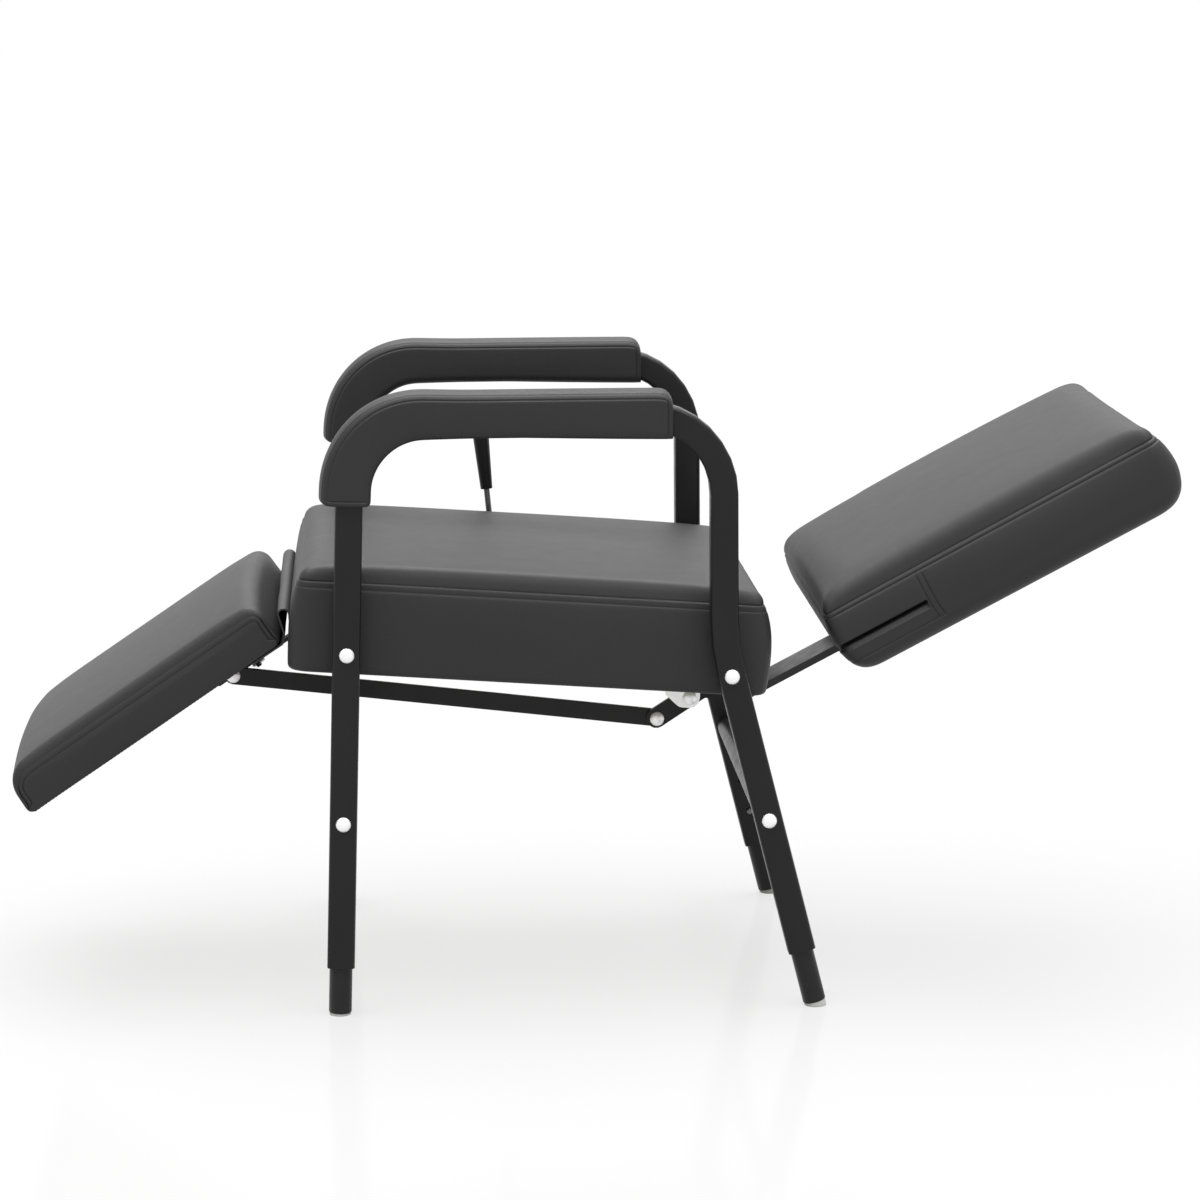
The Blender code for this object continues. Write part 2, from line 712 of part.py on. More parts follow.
def build_leg(side_name, side, end, frame):
    """Sliding foot of one leg: extension tube, glide, snap button and its leaf spring."""
    foot_x, lean = LEGS[end]
    name = f"{side_name}_{end}"
    leg = add_empty(name + "_leg_axis", (foot_x, 0.0), lean, side * FRAME_Y, ROOT)
    slope = abs(lean)
    tube_end = (GLIDE_THICKNESS + EXTENSION_RADIUS * math.sin(slope)) / math.cos(slope)
    tube_top = tube_end + EXTENSION_LENGTH
    edge = EXTENSION_WALL / 2.0
    wall = [(EXTENSION_RADIUS, tube_top), (EXTENSION_RADIUS, tube_end + edge),
            (EXTENSION_RADIUS - edge, tube_end), (EXTENSION_BORE, tube_end), (EXTENSION_BORE, tube_top)]
    extension = add_part("leg_extension_" + name, profile_mesh(wall, closed=True), leg, PAINT)
    turn_on_lathe(extension)

    stem = EXTENSION_BORE - HOLE_PLAY
    rim = EXTENSION_RADIUS - GLIDE_SETBACK
    below = -EXTENSION_RADIUS
    plug = [(0.0, tube_end + GLIDE_STEM), (stem, tube_end + GLIDE_STEM), (stem, tube_end - FIT_GAP),
            (rim, tube_end - FIT_GAP), (rim, below), (0.0, below)]
    glide = add_part("foot_glide_" + name, profile_mesh(plug), leg, NYLON)
    turn_on_lathe(glide)
    cut(glide, FLOOR)

    button_at = BUTTON_HEIGHT / math.cos(slope)
    hole_radius = BUTTON_RADIUS + HOLE_PLAY
    inward = -side
    for i in range(2):
        height = button_at + i * HOLE_PITCH
        tool = add_cutter(f"{name}_snap_hole_{i + 1}",
                          rod_mesh(hole_radius, (0.0, 0.0, height), (0.0, inward * TUBE_SIZE, height)), leg)
        cut(frame, tool)
        if i == 0:
            cut(extension, tool)

    flange_radius = BUTTON_RADIUS + BUTTON_FLANGE
    flange_top = math.sqrt(EXTENSION_BORE ** 2 - flange_radius ** 2) - FIT_GAP
    flange_low = flange_top - BUTTON_FLANGE
    tip = TUBE_SIZE / 2.0 + BUTTON_STAND
    outline = dome(BUTTON_RADIUS, BUTTON_STAND * 0.75, tip - BUTTON_STAND * 0.75)
    outline.extend([(BUTTON_RADIUS, flange_top), (flange_radius, flange_top), (flange_radius, flange_low),
                    (0.0, flange_low)])
    button = add_part("snap_button_" + name, profile_mesh(outline), leg, STEEL,
                      (0.0, 0.0, button_at), across(inward))
    turn_on_lathe(button, HOLE_SIDES)

    near = flange_low - FIT_GAP - LEAF_THICKNESS / 2.0
    wall_reach = math.sqrt(EXTENSION_BORE ** 2 - (LEAF_WIDTH / 2.0) ** 2)
    far = FIT_GAP + LEAF_THICKNESS / 2.0 - wall_reach
    bend = (near - far) / 2.0 - FIT_GAP
    strip = bent_path([(near, flange_radius, 0.0), (near, -LEAF_LENGTH, bend), (far, -LEAF_LENGTH, bend),
                       (far, flange_radius, 0.0)], math.radians(30))
    spring = add_part("snap_spring_" + name, ribbon_mesh(strip, LEAF_WIDTH), leg, STEEL,
                      (0.0, 0.0, button_at), (0.0, 0.0, inward * math.pi / 2.0))
    thicken(spring, LEAF_THICKNESS)


def thicken(part, thickness):
    solid = part.modifiers.new("thickness", "SOLIDIFY")
    solid.thickness = thickness
    solid.offset = 0.0


def build_cross_tube(end, point):
    radius = CROSS_DIAMETER / 2.0
    half = FRAME_INNER_Y - FIT_GAP
    bore = radius - CROSS_WALL
    thread = BOLT_RADIUS + HOLE_PLAY
    wall = [(radius, half), (radius, -half), (thread, -half), (thread, CROSS_PLUG - half),
            (bore, CROSS_PLUG - half), (bore, half - CROSS_PLUG), (thread, half - CROSS_PLUG), (thread, half)]
    tube = add_part(end + "_cross_tube", profile_mesh(wall, closed=True), ROOT, PAINT,
                    (point[0], 0.0, point[1]), across(1))
    turn_on_lathe(tube)


def build_frame_bolts(side_name, side):
    sets = (("seat_bolt", SEAT_BOLTS, SEAT_BOLT_LENGTH), ("cross_tube_bolt", CROSS_BOLTS, CROSS_BOLT_LENGTH))
    for kind, points, length in sets:
        for end, point in points.items():
            place = (point[0], side * (FRAME_OUTER_Y + FIT_GAP), point[1])
            headed_pin(f"{kind}_{side_name}_{end}", BOLT_HEAD_DIAMETER / 2.0, BOLT_HEAD_HEIGHT, BOLT_RADIUS,
                       length, ROOT, ZINC, place, across(side))


def build_arm_pad(side_name, side):
    over = TUBE_SIZE / 2.0 + PAD_OVER
    under = TUBE_SIZE / 2.0 + PAD_UNDER
    half = PAD_WIDTH / 2.0
    section = rounded([
        (under, -half, PAD_CORNER), (under, half, PAD_CORNER), (PAD_CROWN - over, half, PAD_CORNER),
        (-over, 0.0, half), (PAD_CROWN - over, -half, PAD_CORNER),
    ])
    corner = (front_leg_x(ARM_HEIGHT), ARM_HEIGHT, FRONT_BEND)
    low = ARM_HEIGHT - PAD_FRONT_DROP
    rear = POST_X - PAD_REAR_GAP
    round_end = PAD_END_ROUND
    path = bent_path([(front_leg_x(low), low, 0.0), corner, (rear, ARM_HEIGHT, 0.0)])
    inset = [(front_leg_x(low + round_end * k), low + round_end * k) for k in (0.3, 1.0)]
    outset = [(rear - round_end * k, ARM_HEIGHT) for k in (1.0, 0.3)]
    path = path[:1] + inset + path[1:-1] + outset + path[-1:]
    mid_scale = 1.0 - (1.0 - PAD_END_SCALE) * 0.35
    scales = [PAD_END_SCALE, mid_scale] + [1.0] * (len(path) - 4) + [mid_scale, PAD_END_SCALE]
    place = (0.0, side * FRAME_Y, 0.0)
    pad = add_part(side_name + "_arm_pad", swept_mesh(path, section, scales), ROOT, VINYL, place)
    tunnel = add_cutter(side_name + "_pad_tunnel",
                        swept_mesh(frame_path(), square_section(TUBE_SIZE + 2.0 * FIT_GAP, TUBE_CORNER)),
                        ROOT, place)
    cut(pad, tunnel)


# Seat

def raised_box(name, low, high):
    """Clearance box in the axes of the back at its upright limit."""
    turn = -(BACK_ANGLE + BACK_SWING)
    upright = add_empty(name + "_axis", BACK_PIVOT, turn, parent=ROOT)
    return add_cutter(name, box_mesh(low, high), upright)


LINK_OUTER_Y = LINK_INNER_Y + LINK_THICKNESS
CRANK_INNER_Y = LINK_OUTER_Y + SIDE_GAP
CRANK_OUTER_Y = CRANK_INNER_Y + CRANK_THICKNESS
EAR_INNER_Y = CRANK_OUTER_Y + SIDE_GAP
EAR_OUTER_Y = EAR_INNER_Y + EAR_THICKNESS
BAR_REAR = BACK_REAR - FIT_GAP - BAR_THICKNESS
BAR_FRONT = BACK_REAR - FIT_GAP


def build_seat():
    cushion = soft_block("seat_cushion", SEAT_LENGTH, SEAT_WIDTH, SEAT_SIDE, SEAT_CROWN, SEAT_BULGE,
                         SEAT_DRAW, SEAT_EDGE, SEAT, (0.0, 0.0, 0.0))
    length = TRAY_HALF_LENGTH
    width = TRAY_HALF_WIDTH
    tray = add_part("seat_tray", box_mesh((-length, -width, FIT_GAP), (length, width, TRAY_HEIGHT)),
                    SEAT, WOOD)
    hollow = add_cutter("tray_hollow", box_mesh(
        (TRAY_RAIL - length, TRAY_RAIL - width, FIT_GAP + TRAY_BOARD),
        (length - TRAY_RAIL, width - TRAY_RAIL, TRAY_HEIGHT * 2.0)), SEAT)
    pocket = add_cutter("seat_pocket", box_mesh(
        (-length - FIT_GAP, -width - FIT_GAP, -TRAY_HEIGHT),
        (length + FIT_GAP, width + FIT_GAP, TRAY_HEIGHT + FIT_GAP)), SEAT)
    cut(cushion, pocket)
    cut(tray, hollow)
    bar_room = raised_box("bar_notch", (0.0, -BAR_WIDTH / 2.0 - SWING_ROOM, -NOTCH_REACH / 2.0),
                          (NOTCH_REACH, BAR_WIDTH / 2.0 + SWING_ROOM, BAR_FRONT + SWING_ROOM))
    cheek_room = raised_box("cheek_notch", (0.0, -CRANK_OUTER_Y - SWING_ROOM, BAR_REAR),
                            (CHEEK_TOP, CRANK_OUTER_Y + SWING_ROOM, CHEEK_FRONT))
    for part in (cushion, tray):
        cut(part, bar_room, cheek_room)
        for side_name in SIDES:
            for end in SEAT_BOLTS:
                cut(part, CUTTERS.objects[f"{side_name}_{end}_seat_bolt_hole"])


def build_rail():
    """Folded channel under the seat: hinge ears in front, lever bearing and lock seat behind."""
    hinge = in_seat(LEGREST_PIVOT)
    shaft = in_seat(LEVER_PIVOT)
    pin = in_seat(lock_point(LOCK_HEAD_LENGTH / 2.0, LOCK_PIN_RISE))
    ear = KNUCKLE_DIAMETER / 2.0 + FIT_GAP
    low = -RAIL_DEPTH
    tail = pin[0] + RAIL_TAIL
    lobe = LEVER_ROD_DIAMETER / 2.0 + RAIL_SHEET * 2.0
    sheet_top = -FIT_GAP
    outline = rounded([
        (hinge[0] - ear, hinge[1] + ear, ear * 0.95), (hinge[0] - ear, hinge[1] - ear, ear * 0.95),
        (hinge[0] + ear * 3.0, low * 0.94, 0.0), (shaft[0] - lobe * 2.0, low, 0.004),
        (shaft[0] - lobe, shaft[1] - lobe, lobe * 0.8), (shaft[0] + lobe, shaft[1] - lobe, lobe * 0.8),
        (shaft[0] + lobe * 2.0, low, 0.004), (tail, low, 0.004), (tail, sheet_top, 0.0),
        (hinge[0] + ear * 2.0, sheet_top, 0.0), (hinge[0] + ear * 1.2, hinge[1] + ear, 0.0),
    ])
    outer = RAIL_INNER + 2.0 * RAIL_SHEET
    holes = [circle(hinge, HINGE_PIN_DIAMETER / 2.0 + HOLE_PLAY),
             circle(shaft, LEVER_ROD_DIAMETER / 2.0 + HOLE_PLAY),
             circle(pin, LOCK_PIN_DIAMETER / 2.0 + HOLE_PLAY)]
    rail = add_part("mechanism_rail", plate_mesh([outline] + holes, outer), SEAT, PAINT)
    reach = SEAT_LENGTH
    web = hinge[0] + ear * 1.6
    web_low = sheet_top - RAIL_SHEET
    hollow = [(-reach, -reach), (reach, -reach), (reach, web_low), (web, web_low), (web, reach),
              (-reach, reach)]
    cut(rail, add_cutter("rail_channel", plate_mesh([hollow], RAIL_INNER), SEAT))


def build_recline_bracket():
    """Zinc U-bracket under the seat whose two ears carry the back's pivot bolt."""
    pivot = in_seat(BACK_PIVOT)
    left = pivot[0] - EAR_LENGTH + EAR_ROUND
    right = pivot[0] + EAR_ROUND
    top = -FIT_GAP
    outline = rounded([
        (left, top, 0.0), (left, pivot[1] + EAR_ROUND * 0.2, 0.003),
        (pivot[0] - EAR_ROUND, pivot[1] - EAR_ROUND, 0.010),
        (right, pivot[1] - EAR_ROUND, EAR_ROUND * 0.98), (right, top, 0.0),
    ])
    bolt = circle(pivot, PIVOT_DIAMETER / 2.0 + HOLE_PLAY)
    bracket = add_part("recline_bracket", plate_mesh([outline, bolt], 2.0 * EAR_OUTER_Y), SEAT, ZINC)
    reach = SEAT_LENGTH
    room = add_cutter("bracket_channel", box_mesh((-reach, -EAR_INNER_Y, -reach),
                                                  (reach, EAR_INNER_Y, top - BRACKET_BASE)), SEAT)
    cut(bracket, room)

    length = 2.0 * EAR_OUTER_Y + FIT_GAP + BOLT_GRIP
    head_y = -EAR_OUTER_Y - FIT_GAP
    headed_pin("back_pivot_bolt", BOLT_HEAD_DIAMETER / 2.0, BOLT_HEAD_HEIGHT, PIVOT_DIAMETER / 2.0, length,
               ROOT, ZINC, (BACK_PIVOT[0], head_y, BACK_PIVOT[1]), across(-1))
    hexagon = circle((0.0, 0.0), BOLT_HEAD_DIAMETER / 2.0, 6)
    bore = circle((0.0, 0.0), PIVOT_DIAMETER / 2.0 + HOLE_PLAY)
    height = PIVOT_DIAMETER * 0.7
    nut_y = EAR_OUTER_Y + FIT_GAP + height / 2.0
    add_part("back_pivot_nut", plate_mesh([hexagon, bore], height), ROOT, ZINC,
             (BACK_PIVOT[0], nut_y, BACK_PIVOT[1]))


# Back

def lock_joint_point():
    return (BACK_PIVOT[0] + LOCK_CRANK * math.cos(LOCK_CRANK_ANGLE),
            BACK_PIVOT[1] + LOCK_CRANK * math.sin(LOCK_CRANK_ANGLE))


def cheek_outline(with_crank):
    """Welded cheek in back axes: pivot boss, lock lobe, foot on the bar and, on one side, the crank."""
    boss = SLEEVE_DIAMETER * 0.75
    lobe = in_back(lock_joint_point())
    reach = LOCK_JOINT_DIAMETER
    weld = BAR_FRONT - BAR_THICKNESS / 2.0
    foot = [(BAR_START + CHEEK_FOOT_INSET, weld, 0.0), (CHEEK_TOP - CHEEK_ROUND, weld, 0.0),
            (*CHEEK_SHOULDER, CHEEK_ROUND)]
    top = [(lobe[0] + reach * 1.15, -0.001, CHEEK_ROUND), (lobe[0] + reach, lobe[1] + reach, reach * 0.9),
           (lobe[0] - reach * 1.2, lobe[1] + reach * 0.8, reach * 0.8)]
    if with_crank:
        joint = in_back(LINK_REAR)
        half = LINK_HEIGHT * 0.58
        tail = [(-boss * 0.3, boss, 0.006), (joint[0] - half, joint[1] + half, half * 0.95),
                (joint[0] - half, joint[1] - half, half * 0.95), (boss * 1.3, -boss * 0.75, 0.004)]
    else:
        tail = [(-boss, boss, boss * 0.9), (-boss, -boss, boss * 0.9), (boss * 1.3, -boss, 0.004)]
    return rounded(foot + top + tail)


def build_back():
    bar_end = BACK_START + BAR_REACH * BACK_HEIGHT
    bar = add_part("back_bar", box_mesh((BAR_START, -BAR_WIDTH / 2.0, BAR_REAR),
                                        (bar_end, BAR_WIDTH / 2.0, BAR_FRONT)), BACK, PAINT)
    lock_hole = circle(in_back(lock_joint_point()), LOCK_JOINT_DIAMETER / 2.0 + HOLE_PLAY)
    link_hole = circle(in_back(LINK_REAR), BOLT_RADIUS + HOLE_PLAY)
    middle = (CRANK_INNER_Y + CRANK_OUTER_Y) / 2.0
    crank = add_cutter("crank_plate", plate_mesh([cheek_outline(True), lock_hole, link_hole],
                                                 CRANK_THICKNESS, -middle), BACK)
    cheek = add_cutter("cheek_plate", plate_mesh([cheek_outline(False), lock_hole],
                                                 CRANK_THICKNESS, middle), BACK)
    inside = CRANK_INNER_Y + CRANK_THICKNESS / 2.0
    sleeve = add_cutter("pivot_sleeve", rod_mesh(SLEEVE_DIAMETER / 2.0, (0.0, -inside, 0.0),
                                                 (0.0, inside, 0.0), ROUND_SIDES), BACK)
    bore = cross_hole("back_pivot_bore", PIVOT_DIAMETER / 2.0 + HOLE_PLAY, (0.0, 0.0),
                      -EAR_OUTER_Y, EAR_OUTER_Y, BACK)
    join(bar, crank, cheek, sleeve)
    cut(bar, bore)

    centre = BACK_START + BACK_HEIGHT / 2.0
    cushion = soft_block("backrest_cushion", BACK_HEIGHT, BACK_WIDTH, BACK_SIDE, BACK_CROWN, BACK_BULGE,
                         BACK_DRAW, BACK_EDGE, BACK, (centre, 0.0, BACK_REAR))
    board_low = BACK_REAR + BACK_BOARD_DEPTH
    board_high = board_low + BACK_BOARD
    board_end = BACK_START + BACK_HEIGHT - BACK_BOARD_MARGIN
    board_half = BACK_WIDTH / 2.0 - BACK_BOARD_MARGIN
    board_start = BACK_START + BACK_EDGE
    before = BACK_START - BACK_EDGE
    board = add_part("backrest_board", box_mesh((board_start, -board_half, board_low),
                                                (board_end, board_half, board_high)), BACK, WOOD)
    sleeve_room = add_cutter("board_pocket", box_mesh(
        (before, -board_half - FIT_GAP, board_low - FIT_GAP),
        (board_end + FIT_GAP, board_half + FIT_GAP, board_high + FIT_GAP)), BACK)
    slot_low = (board_low + board_high - BACK_SLOT) / 2.0
    slot_end = BACK_START + BACK_SLOT_LENGTH
    slot = add_cutter("cover_slot", box_mesh((before, -BACK_WIDTH, slot_low),
                                             (slot_end, BACK_WIDTH, slot_low + BACK_SLOT)), BACK)
    cut(cushion, sleeve_room, slot)

    depth = board_high - BACK_BOARD * 0.25
    length = depth - BAR_REAR
    for i, share in enumerate(BAR_SCREWS):
        along = BACK_START + share * BACK_HEIGHT
        headed_pin(f"back_bar_screw_{i + 1}", SCREW_HEAD_DIAMETER / 2.0, SCREW_HEAD_HEIGHT,
                   SCREW_DIAMETER / 2.0, length, BACK, ZINC, (along, 0.0, BAR_REAR - FIT_GAP),
                   (math.pi, 0.0, 0.0))
        hole = add_cutter(f"back_screw_hole_{i + 1}", rod_mesh(
            SCREW_DIAMETER / 2.0 + HOLE_PLAY, (along, 0.0, BAR_REAR - BAR_THICKNESS),
            (along, 0.0, depth + FIT_GAP)), BACK)
        cut(bar, hole)
        cut(cushion, hole)
        cut(board, hole)


# Legrest

def build_legrest():
    centre = -LEGREST_START - LEGREST_LENGTH / 2.0
    cushion = soft_block("legrest_cushion", LEGREST_LENGTH, LEGREST_WIDTH, LEGREST_SIDE, LEGREST_CROWN,
                         LEGREST_BULGE, LEGREST_DRAW, LEGREST_EDGE, LEGREST, (centre, 0.0, LEGREST_UNDER))
    half = LEGREST_LENGTH / 2.0 - LEGREST_MARGIN
    wide = LEGREST_WIDTH / 2.0 - LEGREST_MARGIN
    top = LEGREST_UNDER + LEGREST_BOARD
    board = add_part("legrest_board", box_mesh((centre - half, -wide, LEGREST_UNDER),
                                               (centre + half, wide, top)), LEGREST, WOOD)
    pocket = add_cutter("legrest_pocket", box_mesh(
        (centre - half - FIT_GAP, -wide - FIT_GAP, LEGREST_UNDER - LEGREST_BOARD),
        (centre + half + FIT_GAP, wide + FIT_GAP, top + FIT_GAP)), LEGREST)
    cut(cushion, pocket)
    arm = build_legrest_arm()
    length = ARM_THICKNESS + LEGREST_BOARD * 0.75
    for i, share in enumerate(ARM_SCREWS):
        offset = LEGREST_START + share * LEGREST_LENGTH
        low = LEGREST_UNDER - FIT_GAP - ARM_THICKNESS
        headed_pin(f"legrest_arm_screw_{i + 1}", SCREW_HEAD_DIAMETER / 2.0, SCREW_HEAD_HEIGHT,
                   SCREW_DIAMETER / 2.0, length, LEGREST, ZINC, (-offset, 0.0, low - FIT_GAP),
                   (math.pi, 0.0, 0.0))
        hole = add_cutter(f"legrest_screw_hole_{i + 1}", rod_mesh(
            SCREW_DIAMETER / 2.0 + HOLE_PLAY, (-offset, 0.0, low - ARM_THICKNESS),
            (-offset, 0.0, low + length + FIT_GAP)), LEGREST)
        cut(arm, hole)
        cut(board, hole)
    build_gap_flap()


def build_legrest_arm():
    """Joggled flat bar from the hinge knuckle, past the link boss, to the legrest's board."""
    half = ARM_THICKNESS / 2.0
    rest = LEGREST_UNDER - FIT_GAP - half
    reach = LEGREST_START + ARM_REACH * LEGREST_LENGTH
    path = [(0.0, ARM_RISE), (-ARM_JOG[0], ARM_RISE), (-ARM_JOG[1], rest), (-reach, rest)]
    lower = [(x, z - half, 0.0) for x, z in path]
    upper = [(x, z + half, 0.0) for x, z in reversed(path)]
    arm = add_part("legrest_arm", plate_mesh([rounded(lower + upper)], ARM_WIDTH), LEGREST, PAINT)
    joint = in_legrest(LINK_FRONT)
    boss_half = LINK_INNER_Y - SIDE_GAP
    knuckle_half = RAIL_INNER / 2.0 - FIT_GAP
    boss = add_cutter("link_boss", rod_mesh(ARM_BOSS_DIAMETER / 2.0, (joint[0], -boss_half, joint[1]),
                                            (joint[0], boss_half, joint[1]), ROUND_SIDES), LEGREST)
    knuckle = add_cutter("hinge_knuckle", rod_mesh(KNUCKLE_DIAMETER / 2.0, (0.0, -knuckle_half, 0.0),
                                                   (0.0, knuckle_half, 0.0), ROUND_SIDES), LEGREST)
    lug = add_cutter("stop_lug", box_mesh((-STOP_LUG[1], -STOP_HEAD_DIAMETER, ARM_RISE - half - STOP_DROP),
                                          (-STOP_LUG[0], STOP_HEAD_DIAMETER, ARM_RISE)), LEGREST)
    pin_hole = cross_hole("hinge_bore", HINGE_PIN_DIAMETER / 2.0 + HOLE_PLAY, (0.0, 0.0),
                          -RAIL_INNER, RAIL_INNER, LEGREST)
    link_hole = cross_hole("link_boss_bore", BOLT_RADIUS + HOLE_PLAY, joint, -LINK_OUTER_Y, boss_half / 2.0,
                           LEGREST)
    screw_z = ARM_RISE - half - STOP_DROP / 2.0
    screw_hole = add_cutter("stop_screw_hole", rod_mesh(
        STOP_SHANK_DIAMETER / 2.0 + HOLE_PLAY, (-STOP_LUG[1] * 1.2, 0.0, screw_z),
        (0.0, 0.0, screw_z)), LEGREST)
    cut(lug, screw_hole)
    join(arm, boss, knuckle, lug)
    cut(arm, pin_hole, link_hole)

    shank = STOP_LUG[1] - STOP_LUG[0] + FIT_GAP + STOP_HEAD_DIAMETER
    headed_pin("legrest_stop_screw", STOP_HEAD_DIAMETER / 2.0, STOP_HEAD_DIAMETER * 0.8,
               STOP_SHANK_DIAMETER / 2.0, shank, LEGREST, ZINC,
               (-STOP_LUG[1] - FIT_GAP, 0.0, screw_z), (0.0, -math.pi / 2.0, 0.0))
    pin_length = RAIL_INNER + 2.0 * RAIL_SHEET + 2.0 * FIT_GAP
    headed_pin("legrest_hinge_pin", KNUCKLE_DIAMETER / 2.0, RAIL_SHEET, HINGE_PIN_DIAMETER / 2.0,
               pin_length + RAIL_SHEET, ROOT, ZINC,
               (LEGREST_PIVOT[0], -RAIL_INNER / 2.0 - RAIL_SHEET - FIT_GAP, LEGREST_PIVOT[1]), across(-1),
               tail=RAIL_SHEET - FIT_GAP)
    return arm


def build_gap_flap():
    """Vinyl strip that hoods the gap between seat and legrest: a foot under the board, a sheet and a loop."""
    rest = LEGREST_UNDER - FIT_GAP - FLAP_SHEET / 2.0
    crest = in_legrest(beside(LEGREST_PIVOT, FLAP_CREST_OFFSET))
    base = in_legrest(beside(LEGREST_PIVOT, FLAP_BASE_OFFSET))
    heel = FLAP_HEEL - LEGREST_START
    loop = arc(crest, FLAP_LOOP, -LEGREST_ANGLE, math.pi - LEGREST_ANGLE, 8)
    lip = (loop[0][0] - FLAP_LIP * math.sin(LEGREST_ANGLE), loop[0][1] - FLAP_LIP * math.cos(LEGREST_ANGLE))
    foot = bent_path([(*base, 0.0), (heel, rest, FLAP_LOOP / 2.0), (heel - FLAP_FOOT, rest, 0.0)])
    path = [lip] + loop + foot
    flap = add_part("gap_flap", ribbon_mesh(path, FLAP_WIDTH), LEGREST, VINYL)
    thicken(flap, FLAP_SHEET)


# Link bar between the crank and the legrest arm

def build_link():
    length = math.dist(LINK_FRONT, LINK_REAR)
    half = LINK_HEIGHT / 2.0
    outline = arc((0.0, 0.0), half, math.pi / 2.0, math.pi * 1.5, 6)
    outline += arc((length, 0.0), half, -math.pi / 2.0, math.pi / 2.0, 6)
    holes = [circle((0.0, 0.0), BOLT_RADIUS + HOLE_PLAY),
             circle((length, 0.0), BOLT_RADIUS + HOLE_PLAY + LINK_PLAY)]
    middle = -(LINK_INNER_Y + LINK_OUTER_Y) / 2.0
    add_part("link_bar", plate_mesh([outline] + holes, LINK_THICKNESS, middle), LINK, PAINT)
    headed_pin("link_bolt_front", BOLT_HEAD_DIAMETER / 2.0, BOLT_HEAD_HEIGHT, BOLT_RADIUS,
               LINK_OUTER_Y + FIT_GAP, ROOT, ZINC,
               (LINK_FRONT[0], -LINK_OUTER_Y - FIT_GAP, LINK_FRONT[1]), across(-1))
    tail = FIT_GAP * 8.0
    headed_pin("link_bolt_rear", BOLT_HEAD_DIAMETER / 2.0, BOLT_HEAD_HEIGHT, BOLT_RADIUS,
               CRANK_OUTER_Y - LINK_INNER_Y + 2.0 * FIT_GAP + tail, ROOT, ZINC,
               (LINK_REAR[0], -CRANK_OUTER_Y - FIT_GAP, LINK_REAR[1]), across(-1), tail=tail)


# Lock and lever

def lock_point(along, rise):
    """World side-view place of a point in the lock's axes."""
    return (LOCK_START[0] + along * math.cos(LOCK_TILT) + rise * math.sin(LOCK_TILT),
            LOCK_START[1] - along * math.sin(LOCK_TILT) + rise * math.cos(LOCK_TILT))


